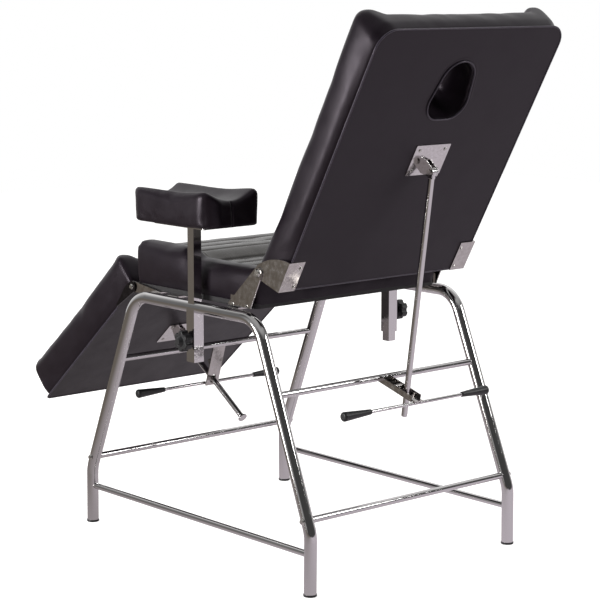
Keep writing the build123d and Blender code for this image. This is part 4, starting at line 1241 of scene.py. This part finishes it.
@dataclass
class Studio:
    """A white floor and backdrop, soft lights and the camera of the photograph."""

    middle_y: float
    camera_x: float = 3.0256
    camera_behind: float = 3.4786
    camera_z: float = 1.2999
    camera_turn: float = 138.86
    camera_pitch: float = 9.07
    lens: float = 118.82
    sensor: float = 36
    sight: float = 60
    aim_z: float = 0.7
    white: str = "FFFFFF"
    floor_size: float = 14.0
    floor_glow: float = 0.86
    paper: str = "BCBAB8"
    mirrored_near: str = "DCD4DC"
    mirrored_far: str = "79726A"
    mirrored_way: Point = (0.85, -0.5, 0.0)
    mirrored_span: Span = (-0.8, 1.6)
    dim_room: float = 0.07
    backdrop: Glow = Glow((-0.65, -0.76, 0.0), (0.05, 0.7), 0.75)
    ceiling: Glow = Glow((0.0, 0.0, 1.0), (0.45, 0.8), 0.4)
    window: Glow = Glow((0.95, -0.3, 0.1), (0.8, 0.96), 0.35)
    softboxes: tuple[Softbox, ...] = (
        Softbox("key_softbox", (4.0, -1.2, 3.0), 1.8, 120, False),
        Softbox("rear_softbox", (-2.6, 3.6, 2.6), 1.2, 60, True),
        Softbox("side_softbox", (4.2, -1.5, 0.45), 1.7, 135, True),
        Softbox("front_softbox", (0.5, -4.0, 3.0), 2.2, 110, False))

    def camera(self) -> None:
        """Add the camera where the photograph's was."""
        data = bpy.data.cameras.new("photo_camera")
        data.lens = self.lens
        data.sensor_width = self.sensor
        data.clip_end = self.sight
        piece = bpy.data.objects.new("photo_camera", data)
        piece.location = (self.camera_x, self.camera_behind + self.middle_y, self.camera_z)
        piece.rotation_euler = (math.radians(90 - self.camera_pitch), 0,
                                math.radians(self.camera_turn))
        bpy.context.scene.collection.objects.link(piece)
        bpy.context.scene.camera = piece

    def floor(self) -> None:
        """Add a white floor that keeps the chair's shadow, and looks greyer to bright metal."""
        piece = add_shape(bpy.ops.mesh.primitive_plane_add, size=self.floor_size,
                          location=(0, 0, 0))
        piece.name = "studio_floor"
        made = bpy.data.materials.new("matt_white_paper")
        made.use_nodes = True
        tree = made.node_tree
        tree.nodes.remove(tree.nodes["Principled BSDF"])
        path = add_node(tree, "ShaderNodeLightPath")
        seen = add_node(tree, "ShaderNodeMath",
                        {0: path.outputs["Is Camera Ray"], 1: self.floor_glow},
                        operation="MULTIPLY")
        glow = add_node(tree, "ShaderNodeEmission",
                        {"Color": linear(self.white), "Strength": seen.outputs[0]})
        paper = add_node(tree, "ShaderNodeBsdfDiffuse", {"Color": linear(self.paper)})
        lit = add_node(tree, "ShaderNodeAddShader", {0: glow.outputs[0], 1: paper.outputs[0]})
        place = add_node(tree, "ShaderNodeTexCoord").outputs["Object"]
        level = remap(tree, toward(tree, place, self.mirrored_way), (0.0, 1.0),
                      self.mirrored_span, "SMOOTHSTEP")
        tint = blend(tree, level, self.mirrored_near, self.mirrored_far)
        mirrored = add_node(tree, "ShaderNodeEmission", {"Color": tint})
        both = add_node(tree, "ShaderNodeMixShader",
                        {0: path.outputs["Is Glossy Ray"], 1: lit.outputs[0],
                         2: mirrored.outputs[0]})
        fill(tree, tree.nodes["Material Output"], {"Surface": both.outputs[0]})
        piece.data.materials.append(made)

    def world(self) -> None:
        """Surround the chair with a dim room that has a backdrop, a pale ceiling and a window."""
        made = bpy.data.worlds.new("studio")
        bpy.context.scene.world = made
        made.use_nodes = True
        tree = made.node_tree
        place = add_node(tree, "ShaderNodeTexCoord").outputs["Generated"]
        strength = self.dim_room
        for glow in (self.backdrop, self.ceiling, self.window):
            ramp = remap(tree, toward(tree, place, glow.way), (0.0, glow.strength), glow.span,
                         "SMOOTHSTEP")
            strength = add_node(tree, "ShaderNodeMath", {0: ramp, 1: strength},
                                operation="ADD").outputs[0]
        path = add_node(tree, "ShaderNodeLightPath")
        shown = add_node(tree, "ShaderNodeMix",
                         {0: path.outputs["Is Camera Ray"], 2: strength, 3: 1.0},
                         data_type="FLOAT")
        fill(tree, tree.nodes["Background"],
             {"Color": linear(self.white), "Strength": shown.outputs[0]})

    def build(self) -> None:
        """Set up the whole studio."""
        self.camera()
        self.floor()
        self.world()
        for softbox in self.softboxes:
            softbox.hang(Vector((0, self.middle_y, self.aim_z)))
        bpy.context.scene.view_settings.view_transform = "Standard"


# The chair

HANDS = {"left": 1.0, "right": -1.0}


def both(*names: str) -> tuple[str, ...]:
    """The left and the right piece of each name."""
    return tuple(f"{name}_{hand}" for name in names for hand in HANDS)


CHROMED = (*both("side_frame", "side_stretcher", "armrest_socket", "armrest_post"),
           "front_lower_crossbar", "rear_lower_crossbar", "front_middle_crossbar",
           "rear_middle_crossbar", "back_rod", "leg_rod", "back_lever_bar", "leg_lever_bar")
PRESSED = ("back_rod_plate", "leg_rod_plate")
# The leg hinge plates get a near-black colour: painted dark reflection.
PAINTED_DARK_PLATES = both("leg_hinge_plate")
SHEET = (*both("seat_hinge_plate", "front_hinge_plate", "back_hinge_plate"), "seat_tabs",
         "back_lock_channel", "leg_lock_plate", "back_clamp_plate", "leg_clamp_plate")
FASTENERS = (*both("armrest_screws", "knob_stud"), "crossbar_bolts", "seat_tab_screws",
             "seat_plate_screws", "back_plate_screws", "leg_plate_screws", "back_hinge_pins",
             "leg_hinge_pins", "back_rod_pin", "leg_rod_pin", "back_lever_pin", "leg_lever_pin")
POLYMER = (*both("knob"), "foot_plugs", "back_lever_grips", "leg_lever_grips")
BOARDS = ("seat_board", "back_board", "leg_board")


@dataclass
class Chair:
    """All that is seen of the chair."""

    middle_y: float
    fabric: Finish = field(default_factory=CoatedFabric)
    welt: Finish = field(default_factory=WeltPaintedHighlight)
    panel: Finish = field(default_factory=PanelFabric)
    arm_side: float = 303 * MM
    arm_lead: float = 1.5 * MM
    arm_z: float = 770 * MM

    def pads(self) -> list[ChannelledPad | ArmrestPad]:
        """List the three channelled pads and the two armrests.

        Returns:
            The pads, in the order in which they are built.
        """
        seat = ChannelledPad(
            "seat_pad", "frame", ("seat_cushion",),
            PadPlace(self.middle_y - 259 * MM, 594 * MM, 0.0, Lie.LEVEL), 449 * MM, 113 * MM,
            self.fabric, self.welt, self.panel, dish=16 * MM, low_height=92 * MM,
            covered=False)
        backrest = ChannelledPad(
            "backrest_pad", "backrest", ("back_cushion", "back_board"),
            PadPlace(self.middle_y + 266.03 * MM, 639.6 * MM, 61.0, Lie.RECLINED), 657 * MM,
            97 * MM, self.fabric, self.welt, self.panel, dish=13 * MM, far_corner=26 * MM,
            foot_corner=45 * MM, foot_draw_in=5 * MM,
            hole=FaceHole(523 * MM, 50 * MM, 471 * MM, 14 * MM, 46 * MM))
        leg_rest = ChannelledPad(
            "leg_pad", "leg_rest", ("leg_cushion", "leg_board"),
            PadPlace(self.middle_y - 262.01 * MM, 593.51 * MM, 40.9, Lie.DROPPED), 507 * MM,
            104 * MM, self.fabric, self.welt, self.panel, dish=14 * MM)
        arms = [ArmrestPad(f"armrest_cushion_{hand}", f"armrest_{hand}", f"armrest_pad_{hand}",
                           (side * self.arm_side, self.middle_y - self.arm_lead, self.arm_z),
                           side, self.fabric)
                for hand, side in HANDS.items()]
        return [seat, backrest, leg_rest, *arms]

    def build(self) -> None:
        """Build every piece in order."""
        for finish, nodes in ((ChromePlating(), CHROMED), (PlatedSheet(), SHEET),
                              (PressedSheet(), PRESSED), (SheetPaintedDarkReflection(), PAINTED_DARK_PLATES),
                              (ZincedSteel(), FASTENERS), (MouldedPolymer(), POLYMER),
                              (CoveredPlywood(), BOARDS)):
            LOG.info("%s on %d nodes", finish.name, CarriedParts(finish, nodes).build())
        for pad in self.pads():
            piece = pad.build()
            LOG.info("%s: %d faces", piece.name, len(piece.data.polygons))


def main() -> None:
    """Build the studio and the chair."""
    logging.basicConfig(level=logging.INFO, format="%(name)s: %(message)s")
    low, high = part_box("foot_plugs")
    middle_y = (low.y + high.y) / 2
    Studio(middle_y).build()
    Chair(middle_y).build()


if __name__ == "__main__":
    main()
